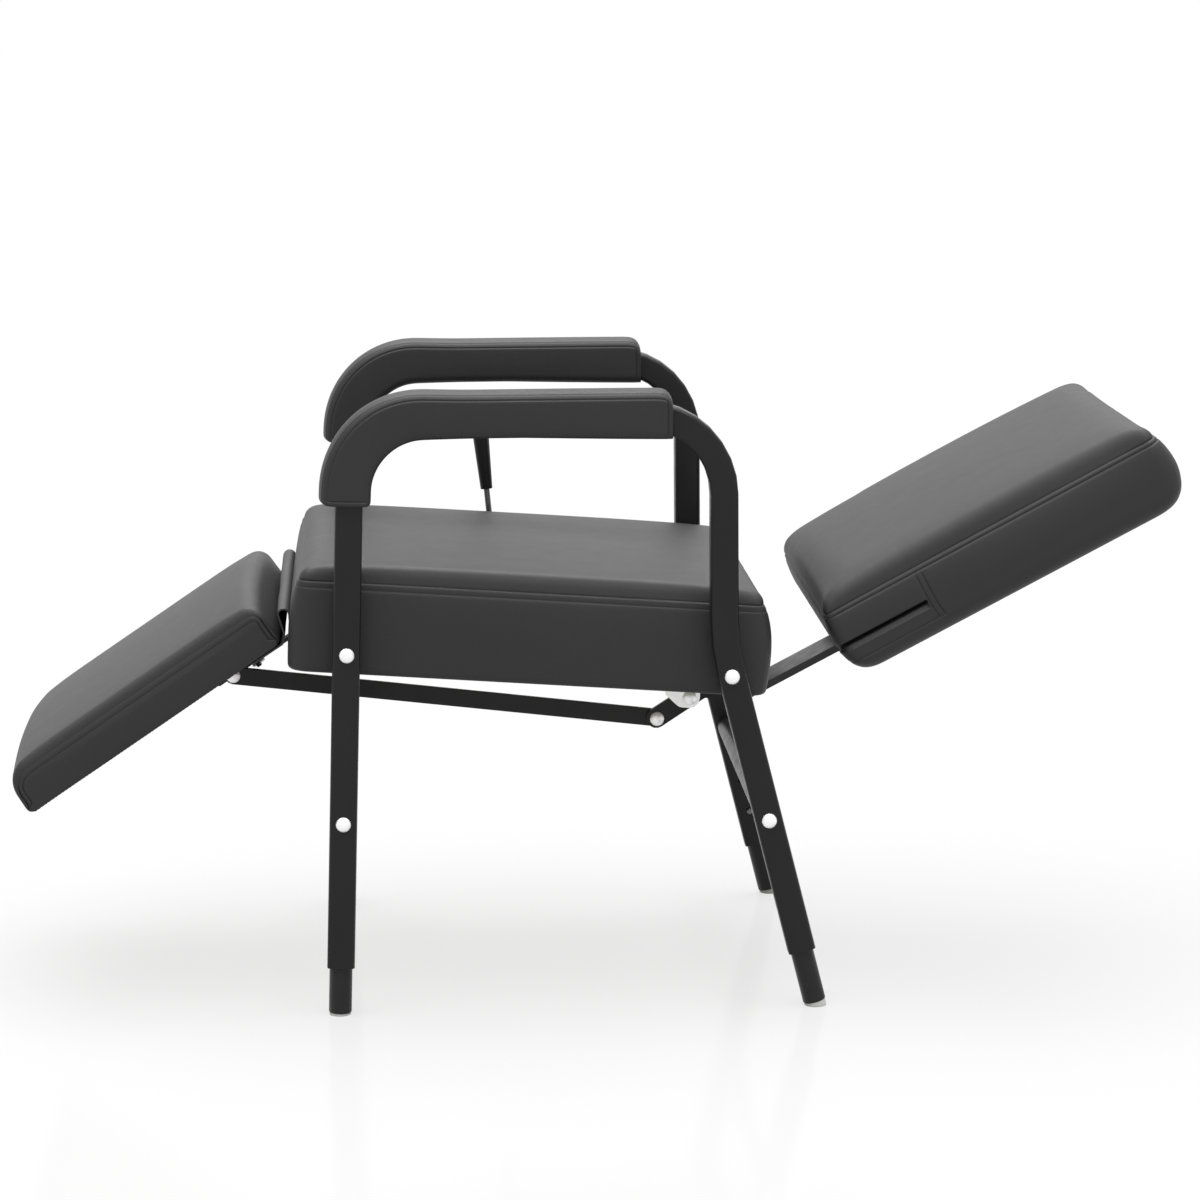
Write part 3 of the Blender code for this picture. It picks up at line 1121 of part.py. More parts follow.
def build_lock():
    radius = LOCK_BARREL_DIAMETER / 2.0
    half = RAIL_INNER / 2.0 - FIT_GAP * 3.0
    barrel = add_part("lock_barrel", rod_mesh(radius, (LOCK_HEAD_LENGTH / 2.0, 0.0, 0.0),
                                              (LOCK_LENGTH, 0.0, 0.0), ROUND_SIDES), LOCK, STEEL)
    head = add_cutter("lock_head", box_mesh((0.0, -half, -LOCK_HEAD_UNDER),
                                            (LOCK_HEAD_LENGTH, half, LOCK_HEAD_OVER)), LOCK)
    pin_at = (LOCK_HEAD_LENGTH / 2.0, LOCK_PIN_RISE)
    pin_hole = cross_hole("lock_pin_bore", LOCK_PIN_DIAMETER / 2.0 + HOLE_PLAY, pin_at, -RAIL_INNER,
                          RAIL_INNER, LOCK)
    rod_radius = LOCK_ROD_DIAMETER / 2.0
    rod_bore = add_cutter("lock_rod_bore", rod_mesh(
        rod_radius + HOLE_PLAY, (LOCK_HEAD_LENGTH + HOLE_PLAY, 0.0, 0.0),
        (LOCK_LENGTH * 1.1, 0.0, 0.0)), LOCK)
    push_bore = add_cutter("release_bore", rod_mesh(
        RELEASE_DIAMETER / 2.0 + HOLE_PLAY, (-LOCK_HEAD_LENGTH, 0.0, -RELEASE_DROP),
        (RELEASE_INSET + RELEASE_TRAVEL + FIT_GAP, 0.0, -RELEASE_DROP)), LOCK)
    join(barrel, head)
    cut(barrel, pin_hole, rod_bore, push_bore)

    span = RAIL_INNER + 2.0 * RAIL_SHEET + 2.0 * FIT_GAP
    place = lock_point(*pin_at)
    headed_pin("lock_front_pin", LOCK_PIN_DIAMETER * 0.8, RAIL_SHEET, LOCK_PIN_DIAMETER / 2.0,
               span + RAIL_SHEET, ROOT, ZINC,
               (place[0], -RAIL_INNER / 2.0 - RAIL_SHEET - FIT_GAP, place[1]), across(-1))

    joint = into(lock_joint_point(), LOCK_START, LOCK_TILT)
    eye_centre = (joint[0], -LOCK_EYE_DROP)
    eye_radius = LOCK_EYE_DIAMETER / 2.0
    eye_bore = LOCK_JOINT_DIAMETER / 2.0 + LOCK_EYE_PLAY
    ring = [circle(eye_centre, eye_radius, ROUND_SIDES), circle(eye_centre, eye_bore, ROUND_SIDES)]
    eye = add_part("lock_rod", plate_mesh(ring, LOCK_EYE_WIDTH), LOCK, STEEL)
    neck = joint[0] - eye_radius * 0.85
    rod = add_cutter("lock_rod_shank", rod_mesh(rod_radius, (LOCK_LENGTH - LOCK_ROD_INSET, 0.0, 0.0),
                                                (neck, 0.0, 0.0), ROUND_SIDES), LOCK)
    join(eye, rod)
    pin_half = EAR_INNER_Y - SIDE_GAP - FIT_GAP
    place = in_back(lock_joint_point())
    add_part("lock_rear_pin", rod_mesh(LOCK_JOINT_DIAMETER / 2.0, (place[0], -pin_half, place[1]),
                                       (place[0], pin_half, place[1]), ROUND_SIDES), BACK, ZINC)

    tip = into((LEVER_PIVOT[0] + LEVER_FINGER_FACE + FIT_GAP, LOCK_START[1]), LOCK_START, LOCK_TILT)[0]
    push_radius = RELEASE_DIAMETER / 2.0
    push = [(0.0, tip), (push_radius * 0.8, tip), (push_radius, tip + push_radius * 0.2),
            (push_radius, RELEASE_INSET), (0.0, RELEASE_INSET)]
    release = add_part("release_pin", profile_mesh(push[::-1]), LOCK, ZINC, (0.0, 0.0, -RELEASE_DROP),
                       (0.0, math.pi / 2.0, 0.0))
    turn_on_lathe(release, HOLE_SIDES)


def build_lever():
    """Bent rod: a cross shaft under the seat, a finger that meets the push pin, and an upright hand end."""
    up = Vector((-math.sin(LEVER_LEAN), 0.0, math.cos(LEVER_LEAN)))
    corner = LEVER_Y - LEVER_BEND
    spots = [(-LEVER_INNER_END, 0.0)]
    spots += arc((corner, LEVER_BEND), LEVER_BEND, -math.pi / 2.0, 0.0, 6)
    cap = GRIP_TOP - GRIP_CAP
    spots.append((LEVER_Y, cap - FIT_GAP))
    curve = bpy.data.curves.new("lever", "CURVE")
    curve.dimensions = "3D"
    curve.bevel_depth = LEVER_ROD_DIAMETER / 2.0
    curve.bevel_resolution = 2
    curve.use_fill_caps = True
    spline = curve.splines.new("POLY")
    spline.points.add(len(spots) - 1)
    for i, (y, rise) in enumerate(spots):
        spline.points[i].co = (up.x * rise, y, up.z * rise, 1.0)
    mesh = mesh_from_curve(curve)
    mesh.transform(Matrix.Rotation(-math.pi / 2.0, 4, "X"))
    rod = add_part("lever_rod", mesh, LEVER, STEEL)
    half = LEVER_FINGER_WIDTH / 2.0
    finger = add_cutter("lever_finger", box_mesh((0.0, -half, -LEVER_ROD_DIAMETER * 0.3),
                                                 (LEVER_FINGER_FACE, half, LEVER_FINGER)), LEVER)
    join(rod, finger)

    bore = LEVER_ROD_DIAMETER / 2.0 + HOLE_PLAY
    wide = GRIP_TOP_DIAMETER / 2.0
    narrow = GRIP_LOW_DIAMETER / 2.0
    handle = dome(wide, wide, GRIP_TOP - wide)
    handle += [(narrow, GRIP_START), (bore, GRIP_START), (bore, cap), (0.0, cap)]
    grip = add_part("lever_grip", profile_mesh(handle), LEVER, GRIP, (0.0, LEVER_Y, 0.0),
                    (0.0, -LEVER_LEAN, 0.0))
    turn_on_lathe(grip)

    shaft = in_seat(LEVER_PIVOT)
    lobe = LEVER_ROD_DIAMETER / 2.0 + LEVER_BRACKET_SHEET * 1.5
    top_edge = -FIT_GAP
    outline = rounded([(shaft[0] - lobe * 1.6, top_edge, 0.0), (shaft[0] - lobe, shaft[1] - lobe, lobe * 0.9),
                       (shaft[0] + lobe, shaft[1] - lobe, lobe * 0.9),
                       (shaft[0] + lobe * 1.6, top_edge, 0.0)])
    plate = plate_mesh([outline, circle(shaft, bore)], LEVER_BRACKET_SHEET, LEVER_BRACKET_Y)
    bracket = add_part("lever_bracket", plate, SEAT, PAINT)
    flange = add_cutter("bracket_foot", box_mesh(
        (shaft[0] - lobe * 1.6, LEVER_BRACKET_Y - lobe * 2.5, top_edge - LEVER_BRACKET_SHEET * 0.75),
        (shaft[0] + lobe * 1.6, LEVER_BRACKET_Y, top_edge)), SEAT)
    join(bracket, flange)


def stand_on_origin():
    """Slides the chair so that its footprint's middle is the origin."""
    bpy.context.view_layer.update()
    graph = bpy.context.evaluated_depsgraph_get()
    reach = []
    for part in PARTS.objects:
        if part.type == "MESH":
            solid = part.evaluated_get(graph)
            reach.extend((solid.matrix_world @ Vector(corner)).x for corner in solid.bound_box)
    ROOT.location.x = -(min(reach) + max(reach)) / 2.0
    bpy.context.view_layer.update()


FLOOR = add_cutter("floor", box_mesh((-1.0, -1.0, -0.2), (1.0, 1.0, 0.0)), ROOT)
for side_name, side in SIDES.items():
    side_frame = build_side_frame(side_name, side)
    for leg_end in LEGS:
        build_leg(side_name, side, leg_end, side_frame)
    build_frame_bolts(side_name, side)
    build_arm_pad(side_name, side)
for cross_end, cross_point in CROSS_BOLTS.items():
    build_cross_tube(cross_end, cross_point)
build_seat()
build_rail()
build_recline_bracket()
build_back()
build_legrest()
build_link()
build_lock()
build_lever()
stand_on_origin()
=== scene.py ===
import json
import math

import bmesh
import bpy
import numpy as np
from mathutils import Matrix, Vector


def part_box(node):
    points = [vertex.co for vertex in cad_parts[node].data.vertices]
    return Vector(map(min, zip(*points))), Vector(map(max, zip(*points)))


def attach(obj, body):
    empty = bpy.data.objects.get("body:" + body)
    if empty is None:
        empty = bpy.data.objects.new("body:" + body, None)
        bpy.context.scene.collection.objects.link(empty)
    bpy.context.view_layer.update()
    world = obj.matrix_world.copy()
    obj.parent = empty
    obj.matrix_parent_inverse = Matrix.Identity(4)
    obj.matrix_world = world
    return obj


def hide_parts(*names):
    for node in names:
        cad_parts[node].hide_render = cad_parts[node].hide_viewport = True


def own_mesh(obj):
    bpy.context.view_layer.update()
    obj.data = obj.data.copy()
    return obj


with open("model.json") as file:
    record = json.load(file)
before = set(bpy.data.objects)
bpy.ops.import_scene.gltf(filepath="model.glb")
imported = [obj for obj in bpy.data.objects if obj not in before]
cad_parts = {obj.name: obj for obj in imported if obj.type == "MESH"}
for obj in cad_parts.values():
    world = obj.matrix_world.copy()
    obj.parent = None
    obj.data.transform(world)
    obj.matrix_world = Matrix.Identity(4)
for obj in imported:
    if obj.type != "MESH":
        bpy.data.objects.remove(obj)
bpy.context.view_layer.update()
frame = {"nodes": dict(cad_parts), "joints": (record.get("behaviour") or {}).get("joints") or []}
NODES = frame["nodes"]
JOINTS = {joint["name"]: joint for joint in frame["joints"]}

# Lengths are in metres

# Tilt of each pad about the chair's cross axis
SEAT_TILT = math.radians(4.1)
BACK_TILT = math.radians(-27.5)
LEGREST_TILT = math.radians(-33.3)

# Seams: a fold's depth, half width and reach, the share of its depth at its lips, and the gathers
SEAM_DEPTH = 0.0024
SEAM_HALF = 0.0008
SEAM_REACH = 0.0022
SEAM_LIP = 0.10
SEAM_STEPS = (-SEAM_REACH, -SEAM_HALF, 0.0, SEAM_HALF, SEAM_REACH)
PUCKER_PITCH = 0.017
PUCKER_HEIGHT = 0.00025
PUCKER_REACH = 0.010

# Stitches: a bead's rings are (place along it, thickness), and it sinks by a part of its radius
STITCH_DEPTH = 0.0009
STITCH_PITCH = 0.0046
STITCH_LENGTH = 0.0034
STITCH_RADIUS = 0.00042
BEAD_RINGS = ((-0.5, 0.35), (-0.36, 0.85), (0.0, 1.0), (0.36, 0.85), (0.5, 0.35))
BEAD_SIDES = 6
BEAD_SINK = 0.9

# Cushions: a shoulder's curve, how a wall is drawn in towards its seam, the turn from which a lower
# edge is held, the room round a board, and the simulation and how far it may move a cover
SHOULDER_POWER = 2.6
SHOULDER_FULLNESS = 0.62
DRAW_POWER = 5.0
HELD_TURN = 0.7
POCKET_GAP = 0.0004
COVER_SWELL = 0.004
LEGREST_SWELL = 0.002
CLOTH_FRAMES = 20
CLOTH = {"quality": 5, "mass": 0.4, "tension_stiffness": 25.0, "compression_stiffness": 25.0,
         "shear_stiffness": 15.0, "bending_stiffness": 2.0, "use_pressure": True,
         "uniform_pressure_force": 4.0}
EVENING_ROUNDS = 60

# Meshes
TANGENT_STEP = 0.002
SHARP_ANGLE = math.radians(50)
TINY = 1e-9

# Box covers: heights are above the pad's underside, and below is how far a cover goes under it.
# proud is how far it stands out at front, rear and sides, taper how far its seam is drawn in from
# that, draw how much more between corners, bulge how far a wall swells halfway up, and wedge the
# top's slope. crown is the shoulder's height, its radius at ends and sides, and the dome. foot is
# the rounded lower edge's height and width, with rows at turns in degrees, and wall the room above
# and below the plain rows and their count.
SEAT = {
    "proud": (0.0085, 0.0030, 0.0020), "taper": (0.0050, 0.0080, 0.0035), "draw": 0.002,
    "bulge": (0.0010, 0.0035, 0.0), "wedge": 0.0, "below": 0.0020, "corners": 4 * (0.019,),
    "seam": 0.098, "stitch_drop": 0.0070, "stitch_depth": STITCH_DEPTH, "wall": (0.007, 0.004, 10),
    "crown": (0.0142, 0.0340, 0.0190, 0.0050),
    "foot": (0.005, 0.005), "end_foot": (0.005, 0.005), "turns": (0, 30, 60, 90)}
BACK = {
    "proud": (0.0060, 0.0095, 0.0053), "taper": (0.0040, 0.0080, 0.0058), "draw": 0.002,
    "bulge": (0.0, 0.0010, 0.0), "wedge": 0.0065, "below": 0.0045,
    "corners": (0.015, 0.022, 0.022, 0.015),
    "seam": 0.0758, "stitch_drop": 0.0050, "stitch_depth": 0.7 * SEAM_DEPTH,
    "wall": (0.0034, 0.004, 9), "crown": (0.0197, 0.0420, 0.0265, 0.0085),
    "foot": (0.020, 0.020), "end_foot": (0.045, 0.030),
    "turns": (0, 6, 12, 20, 30, 42, 55, 68, 80, 90)}
SEAT_COLUMNS = 54
BACK_COLUMNS = (52, 54)
MARK_ROOM = 0.006
ROW_ROOM = 0.001
# Their rows on the seam and on the stitches, as each groove has five
SEAM_ROW = 2
STITCH_ROW = 7

# Backrest's slot, which ends just short of a sewn strip across the side, and the hem below it
SLOT_LOW = 0.0312
SLOT_HIGH = 0.0405
SLOT_LIP = 0.0006
SLOT_DEPTH = 0.013
SLOT_GROOVE = 0.0030
SLOT_SET = 0.0024
SLOT_LENGTH = 0.1135
SLOT_STOP = 1.1 * SEAM_REACH
SLOT_COLUMN = 1.6 * SEAM_REACH
SLOT_STRIP = 0.0070
STRIP_DEPTH = 0.0016
HEM_DROP = 0.0135
HEM_DEPTH = 0.0014

# Legrest cover: the top wraps the ends, and a sewn panel closes each side. RIM and LINE are its seam
# and stitches, ROLL the rows from there over the edge, SPANS the first and count of those across,
# and COLUMNS (count, crowding) along and up.
LEGREST_LEAN = math.radians(-0.6)
LEGREST_HEEL = 0.150
LEGREST_PROUD = (0.0065, 0.0015)
LEGREST_SEAM = 0.0465
LEGREST_CROWN = (0.0085, 0.0100, 0.0075)
LEGREST_HEEL_ROUND = 0.017
LEGREST_TOE_ROUND = 0.028
LEGREST_LOW_ROUND = 0.009
LEGREST_EDGE = 0.0060
LEGREST_RIM = 0.0055
LEGREST_LINE = 0.0105
LEGREST_SEAM_DEPTH = 0.0032
LEGREST_LINE_DEPTH = 0.0018
LEGREST_ROLL = (0.0006, 0.0018, 0.0034, 0.0052, 0.0074, 0.0100, 0.0140)
LEGREST_SPANS = (0.024, 16)
LEGREST_COLUMNS = ((46, 1.4), (14, 1.3))
LEGREST_POCKET = 0.009

# Room for the raised back bar and its cheeks, in the back's axes
NOTCH_ROOM = 0.003
NOTCH_REACH = 0.200
NOTCH_DEPTH = 0.100
BAR_HALF = 0.035
BAR_FRONT = -0.0247
BAR_REAR = -0.0327
CHEEK_TOP = 0.082
CHEEK_HALF = 0.0285
CHEEK_FRONT = -0.006

# Arm sleeves
TUBE = 0.030
FRONT_LEAN = math.radians(1.85)
FRONT_BEND = 0.080
REAR_BEND = 0.086
POST_SPAN = 0.0555
PAD_BELOW = 0.0202
PAD_SWELL = 0.0012
PAD_CROWN = 0.0030
PAD_RISE = 0.0018
PAD_LOW_ROUND = 0.0070
PAD_TOP_ROUND = 0.0060
PAD_FRONT_END_ROUND = 0.0085
PAD_REAR_END_ROUND = 0.0150
PAD_LOW_END_ROUND = 0.0050
PAD_TUBE_END_ROUND = 0.0012
PAD_TAIL_DROP = 0.0042
PAD_TAIL_SPAN = 0.160
PAD_END_EASE = 0.0035
PAD_SEAM_DROP = 0.0040
PAD_SEAM_DEPTH = 0.0016
PAD_STITCH_INSET = 0.0041
PAD_END_SEAM = 0.0055
PAD_FRONT_GROWTH = (0.0038, 0.0031)
PAD_GROWTH_SPAN = (0.060, 0.200)
PAD_START_LIFT = 0.002
PAD_COLUMNS = 15
PAD_MARK_ROOM = 0.03
PAD_BEND_STEPS = 40
PAD_END_SHARES = (0.0, 0.05, 0.14, 0.27, 0.43)
PAD_BODY_ROOM = 0.006
PAD_BODY_ROWS = 54
TUNNEL_GAP = 0.0004
TUNNEL_CORNER = 0.0045
TUNNEL_BEND_ROWS = 12
TUNNEL_ROWS = 34
# Stations along a sleeve: beyond its end seam, on it, and between the two
END, SEWN, BODY = range(3)

# Strip over the gap between seat and legrest: CREST and BASE are from the hinge, HEEL is in the
# legrest's axes, and WAVES are (height, turns, start)
FLAP_SHEET = 0.0018
FLAP_LOOP = 0.0066
FLAP_LIP = 0.006
FLAP_CREST = (-0.0085, 0.0640)
FLAP_BASE = (-0.0080, 0.0418)
FLAP_HEEL = (0.0095, 0.0316)
FLAP_FOOT = 0.040
FLAP_LOOP_ROWS = 17
FLAP_TURN_STEPS = 8
FLAP_ROWS = 64
FLAP_COLUMNS = 90
FLAP_WAVES = ((0.0005, 11.0, 0.6), (0.0003, 37.0, 0.0))
FLAP_WAVE_SPAN = 1.6

# Photographer's camera and the square picture's lens
CAMERA_PLACE = (-0.238, -4.996, 1.204)
CAMERA_YAW = math.radians(2.94)
CAMERA_PITCH = math.radians(9.03)
CAMERA_ROLL = math.radians(-0.41)
CAMERA_FAR = 200.0
SENSOR = 36.0
LENS = 132.9

# Studio: a lamp is a name, power, and spread and lean in degrees, from behind where above zero
FLOOR_REACH = 30.0
FLOOR_GLOW = 0.69
FLOOR_SHADE = 0.15
FLOOR_SHINE = 0.05
FLOOR_GLOSS = 0.12
FLOOR_BOUNCE = 0.36
WORLD_FILL = 0.36
LAMP_HEIGHT = 3.0
LAMPS = (("overhead_light", 3.6, 75.0, -10.0), ("rear_light", 1.8, 45.0, 30.0))

# Finishes: where most of a noise lies, the vinyl's grain in cells to the metre, and a mix's sockets
NOISE_SPAN = (0.3, 0.7)
VINYL_GRAIN = 620.0
MIX_SHARE, MIX_FIRST, MIX_SECOND, MIX_RESULT = 0, 6, 7, 2


# Places

def corners_in(node, axes):
    """Lowest and highest corner of a node, measured in tilted axes."""
    inverse = axes.inverted()
    points = np.array([inverse @ v.co for v in NODES[node].data.vertices])
    return points.min(0), points.max(0)


def under(node, tilt):
    """Axes of a pad, x along it and z out of it, from the middle of its underside; and its size."""
    turn = Matrix.Rotation(tilt, 4, "Y")
    low, high = corners_in(node, turn)
    middle = (low + high) / 2.0
    origin = turn @ Vector((middle[0], middle[1], low[2]))
    return Matrix.Translation(origin) @ turn, high - low


def at_joint(name, tilt):
    return Matrix.Translation(JOINTS[name]["pos_m"]) @ Matrix.Rotation(tilt, 4, "Y")


# Outlines

def fillet(before, corner, after, steps=12):
    """Arc that rounds a corner (x, z, radius) between its two neighbours."""
    here = np.array(corner[:2])
    back = np.array(before[:2]) - here
    ahead = np.array(after[:2]) - here
    back /= np.linalg.norm(back)
    ahead /= np.linalg.norm(ahead)
    half = math.acos(np.clip(back @ ahead, -1.0, 1.0)) / 2.0
    bisector = (back + ahead) / np.linalg.norm(back + ahead)
    centre = here + bisector * corner[2] / math.sin(half)
    first = here + back * corner[2] / math.tan(half) - centre
    last = here + ahead * corner[2] / math.tan(half) - centre
    start = math.atan2(first[1], first[0])
    sweep = (math.atan2(last[1], last[0]) - start + math.pi) % (2.0 * math.pi) - math.pi
    angles = start + sweep * np.linspace(0.0, 1.0, steps + 1)
    return centre + corner[2] * np.column_stack([np.cos(angles), np.sin(angles)])


def rectangle(xs, ys, radii):
    """Corners (x, y, radius) of an outline, anticlockwise from the lowest."""
    places = ((0, 0), (1, 0), (1, 1), (0, 1))
    return [(xs[i], ys[j], radius) for (i, j), radius in zip(places, radii)]


def rounded_sides(corners):
    """Four sides of a rounded outline, each from the middle of one corner to that of the next."""
    arcs = [fillet(corners[i - 1], corners[i], corners[(i + 1) % 4]) for i in range(4)]
    half = len(arcs[0]) // 2
    return [np.vstack([arcs[i][half:], arcs[(i + 1) % 4][:half + 1]]) for i in range(4)]


def clipped(value):
    return np.clip(value, 0.0, 1.0)


def lengths_along(line):
    steps = np.linalg.norm(np.diff(line, axis=0), axis=1)
    return np.concatenate([[0.0], np.cumsum(steps)])


def spread(line, shares):
    """Points at given shares of a polyline's length, and the normals on its right-hand side."""
    run = lengths_along(line)
    ends = [clipped(shares + d) * run[-1] for d in (0.0, -TANGENT_STEP, TANGENT_STEP)]
    spots = [np.column_stack([np.interp(s, run, line[:, k]) for k in (0, 1)]) for s in ends]
    tangent = spots[2] - spots[1]
    tangent /= np.linalg.norm(tangent, axis=1)[:, None]
    return spots[0], np.column_stack([tangent[:, 1], -tangent[:, 0]])


def share_at(line, value, axis):
    """Share of a side's length at which one coordinate reaches a value."""
    run = lengths_along(line)
    order = np.argsort(line[:, axis])
    return float(np.interp(value, line[order, axis], run[order]) / run[-1])


def graded(count, power=1.5):
    """Shares from 0 to 1 that crowd towards both ends."""
    t = np.linspace(-1.0, 1.0, count + 1)
    return 0.5 + 0.5 * np.sign(t) * (1.0 - (1.0 - np.abs(t)) ** power)


def marked(plain, marks, room):
    """Shares in order: the marks, and those plain ones that leave them room."""
    clear = [s for s in plain if min(abs(s - m) for m in marks) > room]
    return np.array(sorted(clear + marks))


def set_rim(grid, ring):
    """Puts a ring of columns round the edge of a grid."""
    nu, nv = grid.shape[0] - 1, grid.shape[1] - 1
    grid[:-1, 0] = ring[:nu]
    grid[-1, :-1] = ring[nu:nu + nv]
    grid[:0:-1, -1] = ring[nu + nv:2 * nu + nv]
    grid[0, :0:-1] = ring[2 * nu + nv:]


class Outline:
    """Closed outline as columns: points, outward normals, side, and nearness to the side's middle.

    Side 0 joins the first two corners. us are shares along sides 0 and 2, and vs along the others.
    """

    def __init__(self, corners, us, vs):
        self.us = us
        self.vs = vs
        shares = [us[:-1], vs[:-1], 1.0 - us[:0:-1], 1.0 - vs[:0:-1]]
        spots = [spread(line, share) for line, share in zip(rounded_sides(corners), shares)]
        self.points = np.vstack([spot[0] for spot in spots])
        self.normals = np.vstack([spot[1] for spot in spots])
        self.side = np.concatenate([np.full(len(share), i) for i, share in enumerate(shares)])
        self.middle = 1.0 - (2.0 * np.concatenate(shares) - 1.0) ** 2

    def inset(self, depth):
        return self.points - self.normals * np.reshape(depth, (-1, 1))

    def run(self):
        """Length round the outline at each column."""
        closed = np.vstack([self.points, self.points[:1]])
        return lengths_along(closed)[:-1]

    def grid(self, ring):
        """Points inside a ring of columns, blended from its four sides."""
        grid = np.zeros((len(self.us), len(self.vs), ring.shape[1]))
        set_rim(grid, ring)
        u = self.us[:, None, None]
        v = self.vs[None, :, None]
        along = (1.0 - v) * grid[:, :1] + v * grid[:, -1:]
        across = (1.0 - u) * grid[:1] + u * grid[-1:]
        low = (1.0 - u) * grid[:1, :1] + u * grid[-1:, :1]
        high = (1.0 - u) * grid[:1, -1:] + u * grid[-1:, -1:]
        return along + across - (1.0 - v) * low - v * high


# Meshes

class Skin:
    """Points and faces of a cover; held points are those that a seam or a board keeps in place."""

    def __init__(self):
        self.points = []
        self.faces = []
        self.held = []

    def add(self, points, held=False):
        start = len(self.points)
        self.points.extend(map(tuple, points))
        index = list(range(start, len(self.points)))
        keep = np.broadcast_to(held, len(index))
        self.held.extend(i for i, fixed in zip(index, keep) if fixed)
        return index

    def walls(self, rings):
        for first, second in zip(rings, rings[1:]):
            for c in range(len(first)):
                d = (c + 1) % len(first)
                self.faces.append((first[c], second[c], second[d], first[d]))

    def cap(self, grid, ring, held=False):
        """Closes a ring by a grid whose rim is that ring."""
        nu, nv = grid.shape[0] - 1, grid.shape[1] - 1
        index = np.zeros((nu + 1, nv + 1), int)
        set_rim(index, ring)
        inner = grid[1:-1, 1:-1].reshape(-1, grid.shape[2])
        index[1:-1, 1:-1] = np.reshape(self.add(inner, held), (nu - 1, nv - 1))
        for i in range(nu):
            for j in range(nv):
                self.faces.append((index[i, j], index[i + 1, j],
                                   index[i + 1, j + 1], index[i, j + 1]))


def add_object(name, data):
    thing = bpy.data.objects.new(name, data)
    bpy.context.scene.collection.objects.link(thing)
    return thing


def make_piece(name, points, faces, axes=Matrix.Identity(4)):
    mesh = bpy.data.meshes.new(name)
    mesh.from_pydata([tuple(map(float, point)) for point in points], [],
                     [tuple(map(int, face)) for face in faces])
    work = bmesh.new()
    work.from_mesh(mesh)
    bmesh.ops.recalc_face_normals(work, faces=work.faces)
    work.to_mesh(mesh)
    work.free()
    mesh.shade_smooth()
    piece = add_object(name, mesh)
    piece.matrix_world = axes
    return piece


def apply_modifiers(piece):
    bpy.context.view_layer.update()
    shown = piece.evaluated_get(bpy.context.evaluated_depsgraph_get())
    solid = bpy.data.meshes.new_from_object(shown)
    piece.modifiers.clear()
    piece.data = solid


def coordinates(mesh):
    flat = np.zeros(len(mesh.vertices) * 3)
    mesh.vertices.foreach_get("co", flat)
    return flat.reshape(-1, 3)


def evened(move, mesh, held):
    """Averages each point's movement with its neighbours', which takes out small creases."""
    ends = np.zeros(len(mesh.edges) * 2, int)
    mesh.edges.foreach_get("vertices", ends)
    first, second = ends.reshape(-1, 2).T
    count = np.bincount(ends, minlength=len(move))[:, None]
    for _ in range(EVENING_ROUNDS):
        total = np.zeros_like(move)
        for axis in range(3):
            total[:, axis] += np.bincount(first, move[second, axis], len(move))
            total[:, axis] += np.bincount(second, move[first, axis], len(move))
        move = 0.5 * move + 0.5 * total / count
        move[held] = 0.0
    return move


def swell(piece, held, most):
    """Blows a cover up against its seams by cloth simulation; no point moves further than `most`."""
    scene = bpy.context.scene
    group = piece.vertex_groups.new(name="seams")
    group.add([int(i) for i in held], 1.0, "REPLACE")
    rest = coordinates(piece.data)
    cloth = piece.modifiers.new("cover", "CLOTH")
    for name, value in CLOTH.items():
        setattr(cloth.settings, name, value)
    cloth.settings.vertex_group_mass = group.name
    cloth.settings.effector_weights.gravity = 0.0
    for number in range(1, CLOTH_FRAMES + 1):
        scene.frame_set(number)
    blown = coordinates(piece.evaluated_get(bpy.context.evaluated_depsgraph_get()).data)
    piece.modifiers.remove(cloth)
    piece.vertex_groups.remove(group)
    scene.frame_set(1)
    move = evened(blown - rest, piece.data, held)
    reach = np.linalg.norm(move, axis=1)
    share = most * np.tanh(reach / most) / np.maximum(reach, TINY)
    piece.data.vertices.foreach_set("co", (rest + move * share[:, None]).ravel())
    piece.data.update()


def soften(piece):
    finer = piece.modifiers.new("finer", "SUBSURF")
    finer.levels = 1
    apply_modifiers(piece)
    piece.data.shade_smooth()


def carve(piece, *boxes):
    """Cuts boxes, each (axes, low, high), out of a piece."""
    for axes, low, high in boxes:
        middle = (Vector(low) + Vector(high)) / 2.0
        span = Vector(high) - Vector(low)
        mesh = bpy.data.meshes.new("cutter")
        work = bmesh.new()
        bmesh.ops.create_cube(work, size=1.0)
        work.to_mesh(mesh)
        work.free()
        cutter = add_object("cutter", mesh)
        cutter.matrix_world = axes @ Matrix.Translation(middle) @ Matrix.Diagonal((*span, 1.0))
        cut = piece.modifiers.new("cut", "BOOLEAN")
        cut.operation = "DIFFERENCE"
        cut.solver = "EXACT"
        cut.object = cutter
        apply_modifiers(piece)
        bpy.data.objects.remove(cutter)
    piece.data.set_sharp_from_angle(angle=SHARP_ANGLE)


def unit(vector):
    return vector / max(np.linalg.norm(vector), TINY)


